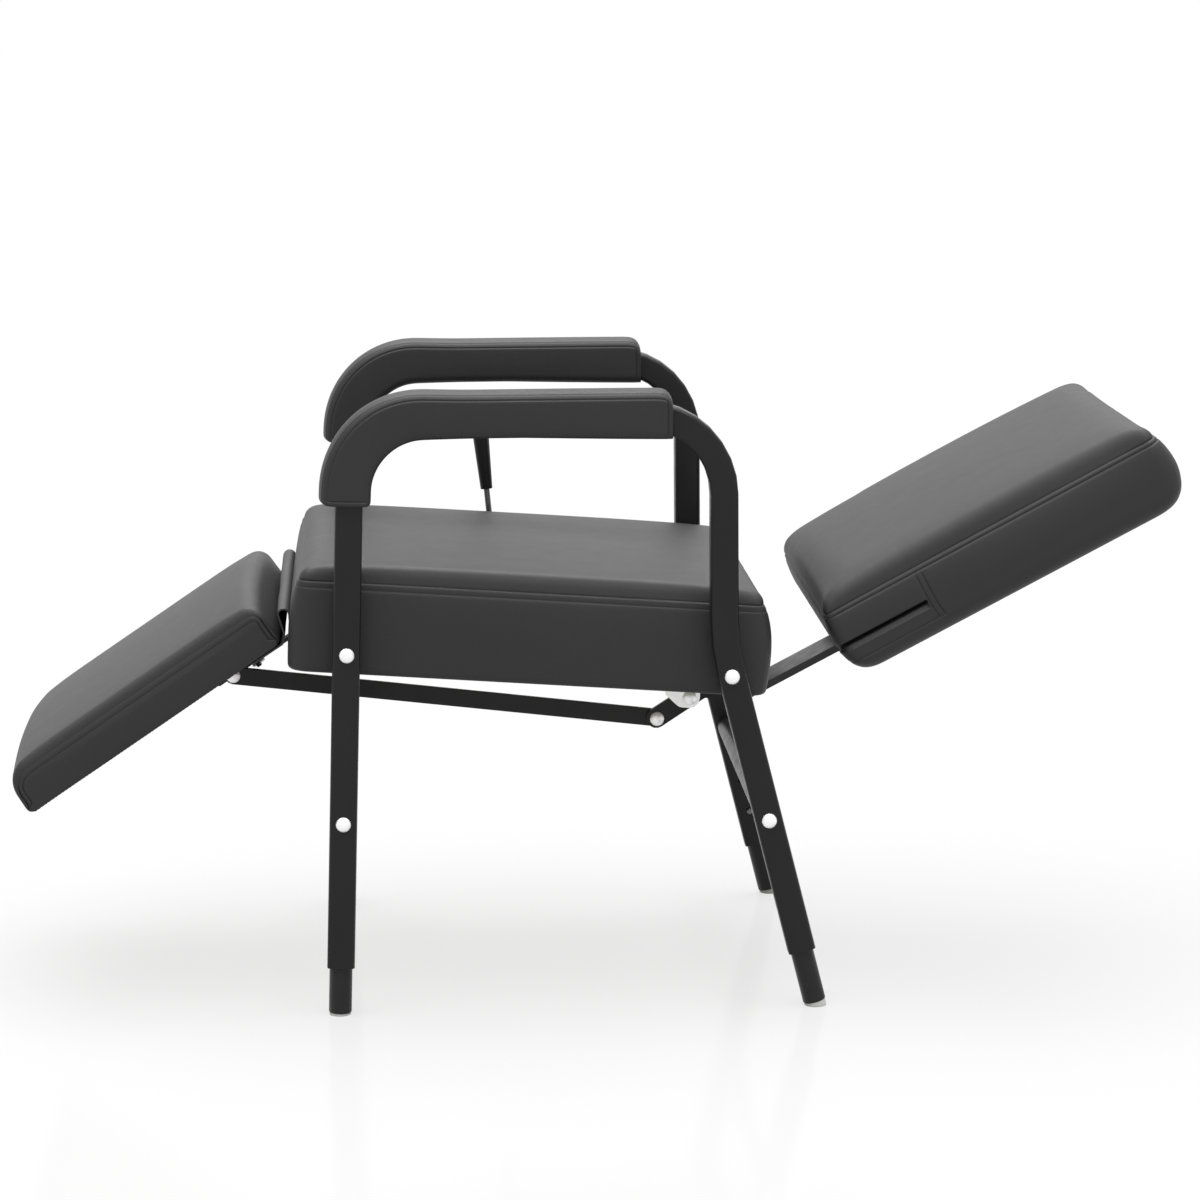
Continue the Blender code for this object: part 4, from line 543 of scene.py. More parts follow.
def sew(name, points, normals, axes, thread, body, closed=True, notch=0.0):
    """Thread along a line: one short bead for each stitch, half sunk in the cover.

    Stitches within a rear notch of that half width are left out.
    """
    line, corners = points, normals
    if closed:
        line, corners = np.vstack([points, points[:1]]), np.vstack([normals, normals[:1]])
    run = lengths_along(line)
    count = int(run[-1] // STITCH_PITCH)
    verts, faces = [], []
    for i in range(count):
        s = run[-1] * (i + 0.5) / count
        tail, spot, tip = [np.array([np.interp(s + d, run, line[:, k]) for k in range(3)])
                           for d in (-0.5 * STITCH_LENGTH, 0.0, 0.5 * STITCH_LENGTH)]
        if spot[0] > 0.0 and abs(spot[1]) < notch:
            continue
        along = unit(tip - tail)
        up = np.array([np.interp(s, run, corners[:, k]) for k in range(3)])
        up = unit(up - along * (up @ along))
        side = np.cross(along, up)
        start = len(verts)
        for shift, scale in BEAD_RINGS:
            centre = spot + along * shift * STITCH_LENGTH + up * STITCH_RADIUS * (scale - BEAD_SINK)
            for k in range(BEAD_SIDES):
                angle = 2.0 * math.pi * k / BEAD_SIDES
                spoke = up * math.cos(angle) + side * math.sin(angle)
                verts.append(centre + STITCH_RADIUS * scale * spoke)
        last = start + (len(BEAD_RINGS) - 1) * BEAD_SIDES
        for ring in range(start, last, BEAD_SIDES):
            for k in range(BEAD_SIDES):
                a, b = ring + k, ring + (k + 1) % BEAD_SIDES
                faces.append((a, b, b + BEAD_SIDES, a + BEAD_SIDES))
        faces.append(tuple(start + k for k in range(BEAD_SIDES)))
        faces.append(tuple(last + k for k in reversed(range(BEAD_SIDES))))
    dress(make_piece(name, verts, faces, axes), thread, body)


def smooth_node(node):
    """Rounds a CAD node's shading: facets of a curve blend, and real edges stay crisp."""
    mesh = node.data
    if "custom_normal" in mesh.attributes:
        mesh.attributes.remove(mesh.attributes["custom_normal"])
    mesh.shade_smooth()
    weld = node.modifiers.new("weld", "WELD")
    weld.merge_threshold = 0.00001
    bevel = node.modifiers.new("eased_edges", "BEVEL")
    bevel.width = 0.0005
    bevel.segments = 2
    bevel.limit_method = "ANGLE"
    bevel.angle_limit = SHARP_ANGLE
    even = node.modifiers.new("flat_faces", "WEIGHTED_NORMAL")
    even.weight = 100


def dress(piece, material, body):
    piece.data.materials.clear()
    piece.data.materials.append(material)
    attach(piece, body)


def pucker(run, distance):
    """Small gathers beside a seam, by length along it and distance from it."""
    wave = np.sin(2.0 * math.pi * run / PUCKER_PITCH)
    return PUCKER_HEIGHT * np.exp(-distance / PUCKER_REACH) * wave


# Covers

def groove(height, depth):
    """Rows of a cover that fold in along a line: (height, inset, held)."""
    insets = (0.0, depth * SEAM_LIP, depth, depth * SEAM_LIP, 0.0)
    return [(height - step, inset, step == 0.0) for step, inset in zip(SEAM_STEPS, insets)]


def upper_rows(form, bottom, sunk=0.0, pinned=False):
    """Rows of a box cover's seam, its stitches, and its wall down to what is below."""
    stitch = form["seam"] - form["stitch_drop"]
    above, below, count = form["wall"]
    rows = groove(form["seam"], SEAM_DEPTH) + groove(stitch, form["stitch_depth"])
    return rows + [(h, sunk, pinned) for h in np.linspace(stitch - above, bottom + below, count)]


def foot_rows(form):
    """Rows of a box cover's rounded lower edge."""
    turns = [math.radians(a) for a in form["turns"]]
    return [(form["foot"][0] * (1.0 - math.sin(a)), 0.0, a > HELD_TURN) for a in turns]


def rounded(height, foot):
    """Inset at a height of a lower edge rounded over (tall, wide)."""
    fall = max(1.0 - height / foot[0], 0.0)
    return foot[1] * (1.0 - math.sqrt(1.0 - fall ** 2))


def shoulder(distance, radius):
    """Full round: 0 at a panel's edge and 1 from one radius inwards."""
    left = 1.0 - clipped(distance / radius)
    return (1.0 - left ** SHOULDER_POWER) ** SHOULDER_FULLNESS


def crowned(outline, ring, base, crown):
    """Top panel: rises from the seam round a full shoulder to a low dome."""
    round_height, end_radius, side_radius, dome = crown
    grid = outline.grid(np.column_stack([ring, np.full(len(ring), base)]))
    half_u, half_v = np.ptp(ring[:, 0]) / 2.0, np.ptp(ring[:, 1]) / 2.0
    u = np.abs(2.0 * outline.us - 1.0)[:, None]
    v = np.abs(2.0 * outline.vs - 1.0)[None, :]
    edge = shoulder((1.0 - u) * half_u, end_radius) * shoulder((1.0 - v) * half_v, side_radius)
    grid[:, :, 2] += round_height * edge + dome * (1.0 - u ** 2) * (1.0 - v ** 2)
    return grid


def by_side(outline, amounts):
    """An amount for each column, from those for the front, rear and sides."""
    nx, ny = outline.normals.T
    front, rear = clipped(-nx) ** 2, clipped(nx) ** 2
    return amounts[0] * front + amounts[1] * rear + amounts[2] * ny ** 2


def box_cover(name, axes, outline, rows, form):
    """Cover with a crowned top, walls from rows of (height, inset, held) and a flat underside."""
    skin = Skin()
    rings = []
    run = outline.run()
    seam = rows[SEAM_ROW][0]
    lean = by_side(outline, form["taper"]) + form["draw"] * outline.middle
    bulge = by_side(outline, form["bulge"])
    low, high = outline.points.min(axis=0), outline.points.max(axis=0)
    centre, half = (low + high) / 2.0, (high - low) / 2.0
    for height, inset, held in rows:
        gather = pucker(run, abs(seam - height)) * outline.middle
        rise = min(height / seam, 1.0)
        foot = np.array([rounded(height, form["end_foot"]), rounded(height, form["foot"])])
        swelling = bulge * 4.0 * rise * (1.0 - rise)
        ring = outline.inset(inset + gather + lean * rise ** DRAW_POWER - swelling)
        ring = centre + (ring - centre) * (1.0 - foot / half)
        rings.append(skin.add(np.column_stack([ring, np.full(len(ring), height)]), held))
    skin.walls(rings)
    plan = np.array(skin.points)
    skin.cap(crowned(outline, plan[rings[0]][:, :2], rows[0][0], form["crown"]), rings[0])
    skin.cap(outline.grid(plan[rings[-1]]), rings[-1], held=True)
    points = np.array(skin.points)
    points[:, 2] += points[:, 0] * form["wedge"] * clipped(points[:, 2] / seam)
    points[:, 2] -= form["below"] * clipped(1.0 - points[:, 2] / seam)
    cover = make_piece(name, points, skin.faces, axes)
    swell(cover, skin.held, COVER_SWELL)
    shape = coordinates(cover.data)
    soften(cover)
    return cover, [shape[ring] for ring in rings]


def outward(outline):
    return np.column_stack([outline.normals, np.zeros(len(outline.normals))])


def pocket(node, axes, drop):
    """Box to carve for a board, open below."""
    low, high = corners_in(node, axes)
    return axes, (*(low[:2] - POCKET_GAP), -drop), tuple(high + POCKET_GAP)


def box_corners(form, size):
    """Corners of a box cover's outline round a cushion of that size."""
    front, rear, side = form["proud"]
    half = size[1] / 2.0 + side
    ends = (-size[0] / 2.0 - front, size[0] / 2.0 + rear)
    return rectangle(ends, (-half, half), form["corners"])


def build_seat(vinyl, thread):
    axes, size = under("seat_cushion", SEAT_TILT)
    shares = graded(SEAT_COLUMNS)
    outline = Outline(box_corners(SEAT, size), shares, shares)
    rows = upper_rows(SEAT, SEAT["foot"][0]) + foot_rows(SEAT)
    seat, lines = box_cover("seat_cover", axes, outline, rows, SEAT)
    raised = at_joint("recline", BACK_TILT - math.radians(JOINTS["recline"]["range_deg"][1]))
    bar, cheek = BAR_HALF + NOTCH_ROOM, CHEEK_HALF + NOTCH_ROOM
    carve(seat, pocket("seat_tray", axes, NOTCH_ROOM),
          (raised, (0.0, -bar, -NOTCH_DEPTH), (NOTCH_REACH, bar, BAR_FRONT + NOTCH_ROOM)),
          (raised, (0.0, -cheek, BAR_REAR), (CHEEK_TOP, cheek, CHEEK_FRONT)))
    dress(seat, vinyl, "base")
    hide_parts("seat_cushion")
    sew("seat_topstitch", lines[STITCH_ROW], outward(outline), axes, thread, "base",
        notch=BAR_HALF + 2.0 * NOTCH_ROOM)


def backrest_rows(outline, edges):
    """Rows of the backrest's walls: seam, stitches, slot, hem and foot, across the strip's edges."""
    along = outline.points[:, 0]
    lower_end = outline.side == 3
    flank = (outline.side == 0) | (outline.side == 2)
    slotted = np.where(lower_end | (flank & (along < edges[0] - SLOT_STOP)), 1.0, 0.0)
    hemmed = np.where(lower_end | (flank & (along < edges[1] + SEAM_HALF / 2.0)), 1.0, 0.0)
    off_edge = np.min([abs(along - x) for x in edges], axis=0)
    stripe = np.where(flank & (off_edge < SEAM_HALF / 2.0), 1.0, 0.0)
    sunk, pinned = STRIP_DEPTH * stripe, stripe > 0.5
    rows = upper_rows(BACK, SLOT_HIGH, sunk, pinned)
    throat = SLOT_HIGH - SLOT_GROOVE
    slot = [(SLOT_HIGH + SLOT_LIP, 0.0), (SLOT_HIGH, SLOT_LIP), (SLOT_HIGH - SLOT_LIP, SLOT_DEPTH),
            (throat, SLOT_DEPTH), (throat - SLOT_LIP, SLOT_SET),
            (SLOT_LOW + 2.0 * SLOT_LIP, SLOT_SET), (SLOT_LOW, -SLOT_LIP),
            (SLOT_LOW - 2.0 * SLOT_LIP, 0.0)]
    rows += [(h, depth * slotted + sunk, slotted > 0.5) for h, depth in slot]
    hem = SLOT_LOW - HEM_DROP
    plain = ((SLOT_LOW + hem) / 2.0, hem + SEAM_REACH, hem + SEAM_HALF)
    rows += [(h, sunk, pinned) for h in plain]
    rows.append((hem, np.maximum(HEM_DEPTH * hemmed, sunk), hemmed > 0.5))
    rows += [(hem - d, 0.0, False) for d in (SEAM_HALF, SEAM_REACH)]
    return rows + [row for row in foot_rows(BACK) if row[0] < hem - SEAM_REACH - ROW_ROOM]


def build_backrest(vinyl, thread):
    axes, size = under("backrest_cushion", BACK_TILT)
    corners = box_corners(BACK, size)
    strip = corners[0][0] + SLOT_LENGTH
    edges = (strip, strip + SLOT_STRIP)
    spots = [x + d for x in edges for d in SEAM_STEPS] + [strip - SLOT_COLUMN]
    near_side = rounded_sides(corners)[0]
    marks = [share_at(near_side, x, 0) for x in spots]
    us, vs = [graded(count) for count in BACK_COLUMNS]
    outline = Outline(corners, marked(us, marks, MARK_ROOM), vs)
    back, lines = box_cover("backrest_cover", axes, outline, backrest_rows(outline, edges), BACK)
    dress(back, vinyl, "back")
    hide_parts("backrest_cushion")
    sew("backrest_topstitch", lines[STITCH_ROW], outward(outline), axes, thread, "back")


def legrest_flank():
    """Rows of the legrest's side panel and the roll round it: (reach from the side, inset, held)."""
    rows = [(0.0, LEGREST_LINE + SEAM_REACH, False)]
    for place, depth in ((LEGREST_LINE, LEGREST_LINE_DEPTH), (LEGREST_RIM, LEGREST_SEAM_DEPTH)):
        rows += [(depth * SEAM_LIP, place + SEAM_HALF, False), (depth, place, True),
                 (depth * SEAM_LIP, place - SEAM_HALF, False)]
    for reach in LEGREST_ROLL:
        left = 1.0 - shoulder(reach, LEGREST_EDGE)
        rows.append((reach, float((LEGREST_RIM - SEAM_REACH) * left), False))
    return rows


def build_legrest(vinyl, thread):
    board_axes, size = under("legrest_cushion", LEGREST_TILT)
    heel = Matrix.Translation((LEGREST_HEEL, 0.0, 0.0))
    axes = board_axes @ heel @ Matrix.Rotation(LEGREST_LEAN, 4, "Y") @ heel.inverted()
    half_x, half_y = size[0] / 2.0 + LEGREST_PROUD[0], size[1] / 2.0 + LEGREST_PROUD[1]
    us, vs = [graded(*columns) for columns in LEGREST_COLUMNS]
    round_height, radius, dome = LEGREST_CROWN
    radii = (LEGREST_LOW_ROUND, LEGREST_LOW_ROUND, LEGREST_HEEL_ROUND, LEGREST_TOE_ROUND)

    def profile(y):
        """Side outline of the pad at a place across it: the top is lower towards the sides."""
        rise = round_height * shoulder(half_y - abs(y), radius)
        top = LEGREST_SEAM + rise + dome * (1.0 - (y / half_y) ** 2)
        return Outline(rectangle((-half_x, half_x), (0.0, top), radii), us, vs)

    flank = legrest_flank()
    first, count = LEGREST_SPANS
    spans = [(reach, 0.0, False) for reach in np.linspace(first, half_y, count)]
    rows = [(-1.0, *row) for row in flank + spans]
    rows += [(1.0, *row) for row in reversed(flank + spans[:-1])]
    skin = Skin()
    rings = []
    for number, (side, reach, inset, held) in enumerate(rows):
        shape = profile(half_y - reach)
        above = clipped(shape.points[:, 1] / LEGREST_LOW_ROUND)
        sewn = above if reach < LEGREST_EDGE else np.ones(len(above))
        step = min(number, len(rows) - 1 - number)
        depth = reach * sewn + (1.0 - sewn) * LEGREST_EDGE * step / len(flank)
        ring = shape.inset(inset * sewn)
        bottom = (shape.side == 0) & (reach > LEGREST_EDGE)
        place = np.column_stack([ring[:, 0], side * (half_y - depth), ring[:, 1]])
        rings.append(skin.add(place, (held & (above > 0.5)) | bottom))
    skin.walls(rings)
    points = np.array(skin.points)
    for end in (0, -1):
        skin.cap(shape.grid(points[rings[end]]), rings[end])
    pad = make_piece("legrest_cover", skin.points, skin.faces, axes)
    swell(pad, skin.held, LEGREST_SWELL)
    shape = coordinates(pad.data)
    soften(pad)
    carve(pad, pocket("legrest_board", board_axes, LEGREST_POCKET))
    dress(pad, vinyl, "legrest")
    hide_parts("legrest_cushion")
    for hand, row, side in (("left", SEAM_ROW, -1.0), ("right", -1 - SEAM_ROW, 1.0)):
        normals = np.tile([0.0, side, 0.0], (len(rings[row]), 1))
        sew("legrest_stitch_" + hand, shape[rings[row]], normals, axes, thread, "legrest")


class ArmPath:
    """Middle of an arm's tube, from the sleeve's start on the front leg to its rear end."""

    def __init__(self, side):
        low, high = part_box(side + "_arm_pad")
        tube_low, tube_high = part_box(side + "_side_frame")
        self.height = tube_high.z - TUBE / 2.0
        self.middle = (tube_low.y + tube_high.y) / 2.0
        self.rear = high.x
        self.half = (high.y - low.y) / 2.0 - PAD_SWELL
        self.over = high.z - self.height - PAD_CROWN
        slope = math.tan(FRONT_LEAN)
        foot_x = tube_low.x + TUBE / 2.0 - tube_low.z * slope
        start = low.z + PAD_START_LIFT
        first, last = (foot_x + start * slope, start), (self.rear, self.height)
        knee = (foot_x + self.height * slope, self.height, FRONT_BEND)
        self.line = np.vstack([[first], fillet(first, knee, last, PAD_BEND_STEPS), [last]])
        self.total = lengths_along(self.line)[-1]

    def place(self, s, section):
        """A section's points (across, up) at a length along the path."""
        spot, right = spread(self.line, np.array([s / self.total]))
        return np.column_stack([spot[0, 0] - right[0, 0] * section[:, 1],
                                self.middle + section[:, 0],
                                spot[0, 1] - right[0, 1] * section[:, 1]])

    def up(self, s):
        return (self.place(s, np.array([[0.0, 1.0]])) - self.place(s, np.array([[0.0, 0.0]])))[0]

    def tunnel(self, section, bore):
        """Rings of the tube's hole: round the rear bend, then along the path to the front."""
        post = self.rear + POST_SPAN
        share = (section[:, 1] / bore + 1.0) / 2.0
        rings = []
        for x in np.linspace(self.rear, post - REAR_BEND, TUNNEL_BEND_ROWS)[:-1]:
            along = x - post + REAR_BEND
            roof, floor = [math.sqrt((REAR_BEND + d) ** 2 - along ** 2) - REAR_BEND
                           for d in (bore, -bore)]
            rings.append(np.column_stack([np.full(len(share), x), self.middle + section[:, 0],
                                          self.height + floor + (roof - floor) * share]))
        straight = self.total - (REAR_BEND - POST_SPAN)
        return rings + [self.place(s, section) for s in np.linspace(straight, 0.0, TUNNEL_ROWS)]


def eased(s, radius):
    """Inset of a rounded end at a distance from it."""
    return radius - np.sqrt(radius ** 2 - np.maximum(radius - s, 0.0) ** 2)


def front_share(s):
    """1 on the front leg and 0 along the arm."""
    first, last = PAD_GROWTH_SPAN
    share = clipped((s - first) / (last - first))
    return 1.0 - share * share * (3.0 - 2.0 * share)


def sleeve_stations(total):
    """Places along a sleeve and their kind, close together at its ends."""
    ends = [(PAD_END_SEAM * share, END) for share in PAD_END_SHARES]
    ends += [(PAD_END_SEAM + d, kind) for d, kind in zip(SEAM_STEPS, (END, END, SEWN, BODY, BODY))]
    first, last = PAD_END_SEAM + PAD_BODY_ROOM, total - PAD_END_SEAM - PAD_BODY_ROOM
    body = [(s, BODY) for s in np.linspace(first, last, PAD_BODY_ROWS)]
    return ends + body + [(total - s, kind) for s, kind in reversed(ends)]


def build_arm_sleeve(side, vinyl, thread):
    path = ArmPath(side)
    half, over, total = path.half, path.over, path.total
    corners = rectangle((-half, half), (-PAD_BELOW, over), (PAD_LOW_ROUND, PAD_LOW_ROUND,
                                                            PAD_TOP_ROUND, PAD_TOP_ROUND))
    sides = rounded_sides(corners)
    seam = over - PAD_SEAM_DROP
    rises = [share_at(sides[1], seam + d, 1) for d in SEAM_STEPS]
    rims = [share_at(sides[2], half - PAD_STITCH_INSET + d, 0) for d in SEAM_STEPS]
    rims += [1.0 - s for s in rims]
    plain = np.linspace(0.0, 1.0, PAD_COLUMNS)
    us, vs = marked(plain, rims, PAD_MARK_ROOM), marked(plain, rises, PAD_MARK_ROOM)
    outer = Outline(corners, us, vs)
    across, level = outer.points.T
    top = outer.side == 2
    flank = (outer.side == 1) | (outer.side == 3)
    on_seam = flank & (abs(level - seam) < SEAM_HALF / 2.0)
    on_stitch = top & (abs(abs(across) - half + PAD_STITCH_INSET) < SEAM_HALF / 2.0)
    panel = flank & (level < seam + SEAM_HALF / 2.0)
    crown = np.where(top, (PAD_CROWN + PAD_RISE) * (1.0 - (across / half) ** 2), 0.0)
    rise = clipped((level + PAD_BELOW) / (over + PAD_BELOW))
    low_share, top_share = clipped(-level / PAD_BELOW), clipped(level / over)
    growth = PAD_FRONT_GROWTH[0] * rise - PAD_FRONT_GROWTH[1] * (1.0 - rise)
    upright = outer.normals[:, 1] ** 2
    skin = Skin()
    rings = []
    stations = sleeve_stations(total)
    for s, kind in stations:
        near = min(s, total - s)
        front = s < total / 2.0
        top_fall = eased(near, PAD_FRONT_END_ROUND if front else PAD_REAR_END_ROUND)
        low_rise = eased(near, PAD_LOW_END_ROUND if front else PAD_TUBE_END_ROUND)
        depth = eased(near, PAD_END_EASE) * (1.0 - upright)
        held = np.full(len(level), kind == END and near < PAD_END_EASE / 2.0)
        if kind != END:
            seams = panel if kind == SEWN else on_seam
            depth = depth + np.where(seams, PAD_SEAM_DEPTH, 0.0)
            depth = depth + np.where(on_stitch, STITCH_DEPTH, 0.0)
            held = seams | on_stitch
        section = outer.inset(depth)
        section[:, 1] += low_rise * low_share - top_fall * top_share
        section[:, 1] += crown + front_share(s) * growth
        tail = clipped(1.0 - (total - s) / PAD_TAIL_SPAN)
        section[:, 1] -= PAD_TAIL_DROP * (1.0 - rise) * tail
        rings.append(skin.add(path.place(s, section), held))
    bore = TUBE / 2.0 + TUNNEL_GAP
    inner = Outline(rectangle((-bore, bore), (-bore, bore), 4 * [TUNNEL_CORNER]), us, vs)
    tunnel = [skin.add(ring, True) for ring in path.tunnel(inner.points, bore)]
    skin.walls(rings + tunnel + rings[:1])
    sleeve = make_piece(side + "_arm_sleeve", skin.points, skin.faces)
    swell(sleeve, skin.held, PAD_SWELL)
    shape = coordinates(sleeve.data)
    soften(sleeve)
    dress(sleeve, vinyl, "base")
    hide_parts(side + "_arm_pad")
    sewn = [(ring, s) for ring, (s, kind) in zip(rings, stations) if kind != END]
    normals = np.array([path.up(s) for _, s in sewn])
    for number, column in enumerate(np.flatnonzero(on_stitch), 1):
        line = shape[[ring[column] for ring, _ in sewn]]
        sew(f"{side}_sleeve_stitch_{number}", line, normals, Matrix.Identity(4), thread, "base",
            closed=False)


def build_flap(vinyl):
    """Folded strip: a lip, a loop over the gap, a neck and a foot under the legrest's board."""
    pivot = Vector(JOINTS["legrest_swing"]["pos_m"])
    crest = np.array([pivot.x + FLAP_CREST[0], pivot.z + FLAP_CREST[1]])
    turns = np.linspace(0.0, math.pi, FLAP_LOOP_ROWS)
    loop = crest + FLAP_LOOP * np.column_stack([np.cos(turns), np.sin(turns)])
    base = (pivot.x + FLAP_BASE[0], pivot.z + FLAP_BASE[1])
    legrest = at_joint("legrest_swing", LEGREST_TILT)
    heel = legrest @ Vector((FLAP_HEEL[0], 0.0, FLAP_HEEL[1]))
    toe = legrest @ Vector((FLAP_HEEL[0] - FLAP_FOOT, 0.0, FLAP_HEEL[1]))
    turn = fillet(base, (heel.x, heel.z, FLAP_LOOP / 2.0), (toe.x, toe.z), FLAP_TURN_STEPS)
    path = np.vstack([[loop[0] - (0.0, FLAP_LIP)], loop, [base], turn, [(toe.x, toe.z)]])
    low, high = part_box("gap_flap")
    shares = np.linspace(0.0, 1.0, FLAP_ROWS)
    spots, normals = spread(path, shares)
    free = clipped(np.sin(math.pi * shares * FLAP_WAVE_SPAN))
    points = []
    for y in np.linspace(low.y, high.y, FLAP_COLUMNS):
        wave = sum(rise * math.sin(turns * y + start) for rise, turns, start in FLAP_WAVES)
        line = spots + normals * (wave * free)[:, None]
        points.extend((x, y, z) for x, z in line)
    starts = range(0, (FLAP_COLUMNS - 1) * FLAP_ROWS, FLAP_ROWS)
    faces = [(a, a + FLAP_ROWS, a + FLAP_ROWS + 1, a + 1)
             for start in starts for a in range(start, start + FLAP_ROWS - 1)]
    flap = make_piece("gap_hood", points, faces)
    thick = flap.modifiers.new("sheet", "SOLIDIFY")
    thick.thickness = FLAP_SHEET
    thick.offset = 0.0
    apply_modifiers(flap)
    flap.data.set_sharp_from_angle(angle=SHARP_ANGLE)
    dress(flap, vinyl, "legrest")
    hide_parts("gap_flap")


# Springs

def build_leaf(corner, steel):
    """Leaf spring of a snap button, copied from its CAD node with rounded shading."""
    name = "snap_spring_" + corner
    leaf = add_object("leaf_" + corner, NODES[name].data.copy())
    smooth_node(leaf)
    apply_modifiers(leaf)
    dress(leaf, steel, "base")
    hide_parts(name)
    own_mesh(leaf)


# Finishes

def add_node(tree, kind, **sockets):
    """A shader node with its sockets, by name, linked to outputs or set to constants."""
    node = tree.nodes.new(kind)
    for name, value in sockets.items():
        socket = node.inputs[name.replace("_", " ")]
        if hasattr(value, "is_output"):
            tree.links.new(value, socket)
        else:
            socket.default_value = value
    return node


def grey(value, warm=0.0):
    return (value * (1.0 + warm), value, value * (1.0 - warm))


class Finish:
    """A material's nodes: textures in object space feed one Principled shader."""

    def __init__(self, name, metallic=0.0, specular=0.5):
        self.material = bpy.data.materials.new(name)
        self.material.use_nodes = True
        self.tree = self.material.node_tree
        self.shader = self.tree.nodes["Principled BSDF"]
        self.shader.inputs["Metallic"].default_value = metallic
        self.shader.inputs["Specular IOR Level"].default_value = specular
        self.space = self.tree.nodes.new("ShaderNodeTexCoord").outputs["Object"]

    def node(self, kind, **sockets):
        return add_node(self.tree, kind, **sockets)

    def noise(self, scale, detail=4.0, stretch=None):
        space = self.space
        if stretch:
            space = self.node("ShaderNodeMapping", Vector=space, Scale=stretch).outputs["Vector"]
        node = self.node("ShaderNodeTexNoise", Vector=space, Scale=scale, Detail=detail)
        return node.outputs["Fac"]

    def cells(self, scale):
        node = self.node("ShaderNodeTexVoronoi", Vector=self.space, Scale=scale)
        node.feature = "DISTANCE_TO_EDGE"
        return node.outputs["Distance"]

    def edges(self, low, high):
        """0 on flats and 1 on raised edges."""
        point = self.node("ShaderNodeNewGeometry").outputs["Pointiness"]
        return self.spanned(point, (0.0, 1.0), (low, high))

    def spanned(self, value, result, span=NOISE_SPAN):
        """Carries a value's span (low, high) over to that of the result."""
        node = self.node("ShaderNodeMapRange", Value=value, From_Min=span[0], From_Max=span[1],
                         To_Min=result[0], To_Max=result[1])
        return node.outputs["Result"]

    def added(self, first, second):
        node = self.node("ShaderNodeMath")
        node.operation = "ADD"
        self.tree.links.new(first, node.inputs[0])
        self.tree.links.new(second, node.inputs[1])
        return node.outputs["Value"]

    def colours(self, value, *stops):
        """Colours along a value; a stop is (place, colour)."""
        ramp = self.node("ShaderNodeValToRGB", Fac=value)
        elements = ramp.color_ramp.elements
        while len(elements) < len(stops):
            elements.new(0.5)
        for element, (place, colour) in zip(elements, stops):
            element.position = place
            element.color = (*colour, 1.0)
        return ramp.outputs["Color"]

    def mixed(self, share, tone, colour):
        """A tone that turns to one colour as the share rises."""
        node = self.node("ShaderNodeMix")
        node.data_type = "RGBA"
        self.tree.links.new(share, node.inputs[MIX_SHARE])
        self.tree.links.new(tone, node.inputs[MIX_FIRST])
        node.inputs[MIX_SECOND].default_value = (*colour, 1.0)
        return node.outputs[MIX_RESULT]

    def finish(self, colour, roughness, height, strength, distance):
        self.tree.links.new(colour, self.shader.inputs["Base Color"])
        self.tree.links.new(roughness, self.shader.inputs["Roughness"])
        bump = self.node("ShaderNodeBump", Height=height, Strength=strength, Distance=distance)
        self.tree.links.new(bump.outputs["Normal"], self.shader.inputs["Normal"])
        return self.material


def vinyl_finish():
    f = Finish("grained_vinyl", specular=0.36)
    cells = f.cells(VINYL_GRAIN)
    grain = f.added(f.spanned(cells, (0.0, 1.0), (0.0, 0.18)),
                    f.spanned(f.noise(1900.0, 3.0), (0.0, 0.45)))
    tone = f.colours(f.noise(5.0, 5.0), (0.35, grey(0.0180)), (0.65, grey(0.0205)))
    worn = f.mixed(f.edges(0.515, 0.60), tone, grey(0.028))
    rough = f.added(f.spanned(f.noise(38.0), (0.490, 0.510), (0.35, 0.65)),
                    f.spanned(cells, (0.06, 0.0), (0.0, 0.10)))
    return f.finish(worn, rough, grain, strength=0.16, distance=0.00030)


def paint_finish():
    f = Finish("powder_coat", specular=0.25)
    peel = f.added(f.noise(420.0, 2.0), f.spanned(f.noise(1500.0, 2.0), (0.0, 0.4), (0.0, 1.0)))
    tone = f.colours(f.noise(9.0, 5.0), (0.35, grey(0.0080)), (0.65, grey(0.0110)))
    worn = f.mixed(f.edges(0.54, 0.66), tone, grey(0.030))
    rough = f.spanned(f.noise(60.0), (0.30, 0.40))
    return f.finish(worn, rough, peel, strength=0.10, distance=0.00025)


def even_finish(name, surface, greys, rough, bump, cloud=None, sheen=None, places=NOISE_SPAN,
                warm=0.0, **shader):
    """Even material: one noise (scale, detail, stretch) sets its bump, tone and sheen.

    cloud and sheen are other noises for these two, and bump is (strength, distance).
    """
    f = Finish(name, **shader)
    texture = f.noise(*surface)
    tone = f.noise(*cloud) if cloud else texture
    gloss = f.noise(*sheen) if sheen else texture
    stops = [(place, grey(value, warm)) for place, value in zip(places, greys)]
    return f.finish(f.colours(tone, *stops), f.spanned(gloss, rough), texture, *bump)


def plywood_finish():
    f = Finish("plywood", specular=0.3)
    grain = f.noise(16.0, 8.0, stretch=(1.0, 14.0, 14.0))
    plies = f.noise(3.0, 2.0, stretch=(0.4, 0.4, 150.0))
    tone = f.colours(grain, (0.25, (0.50, 0.42, 0.31)), (0.5, (0.62, 0.54, 0.42)),
                     (0.75, (0.68, 0.61, 0.49)))
    layered = f.mixed(f.spanned(plies, (0.0, 0.45), (0.45, 0.60)), tone, (0.42, 0.34, 0.24))
    rough = f.spanned(grain, (0.55, 0.72))
    return f.finish(layered, rough, grain, strength=0.2, distance=0.0006)


# Studio

def bare_tree(owner):
    owner.use_nodes = True
    owner.node_tree.nodes.clear()
    return owner.node_tree


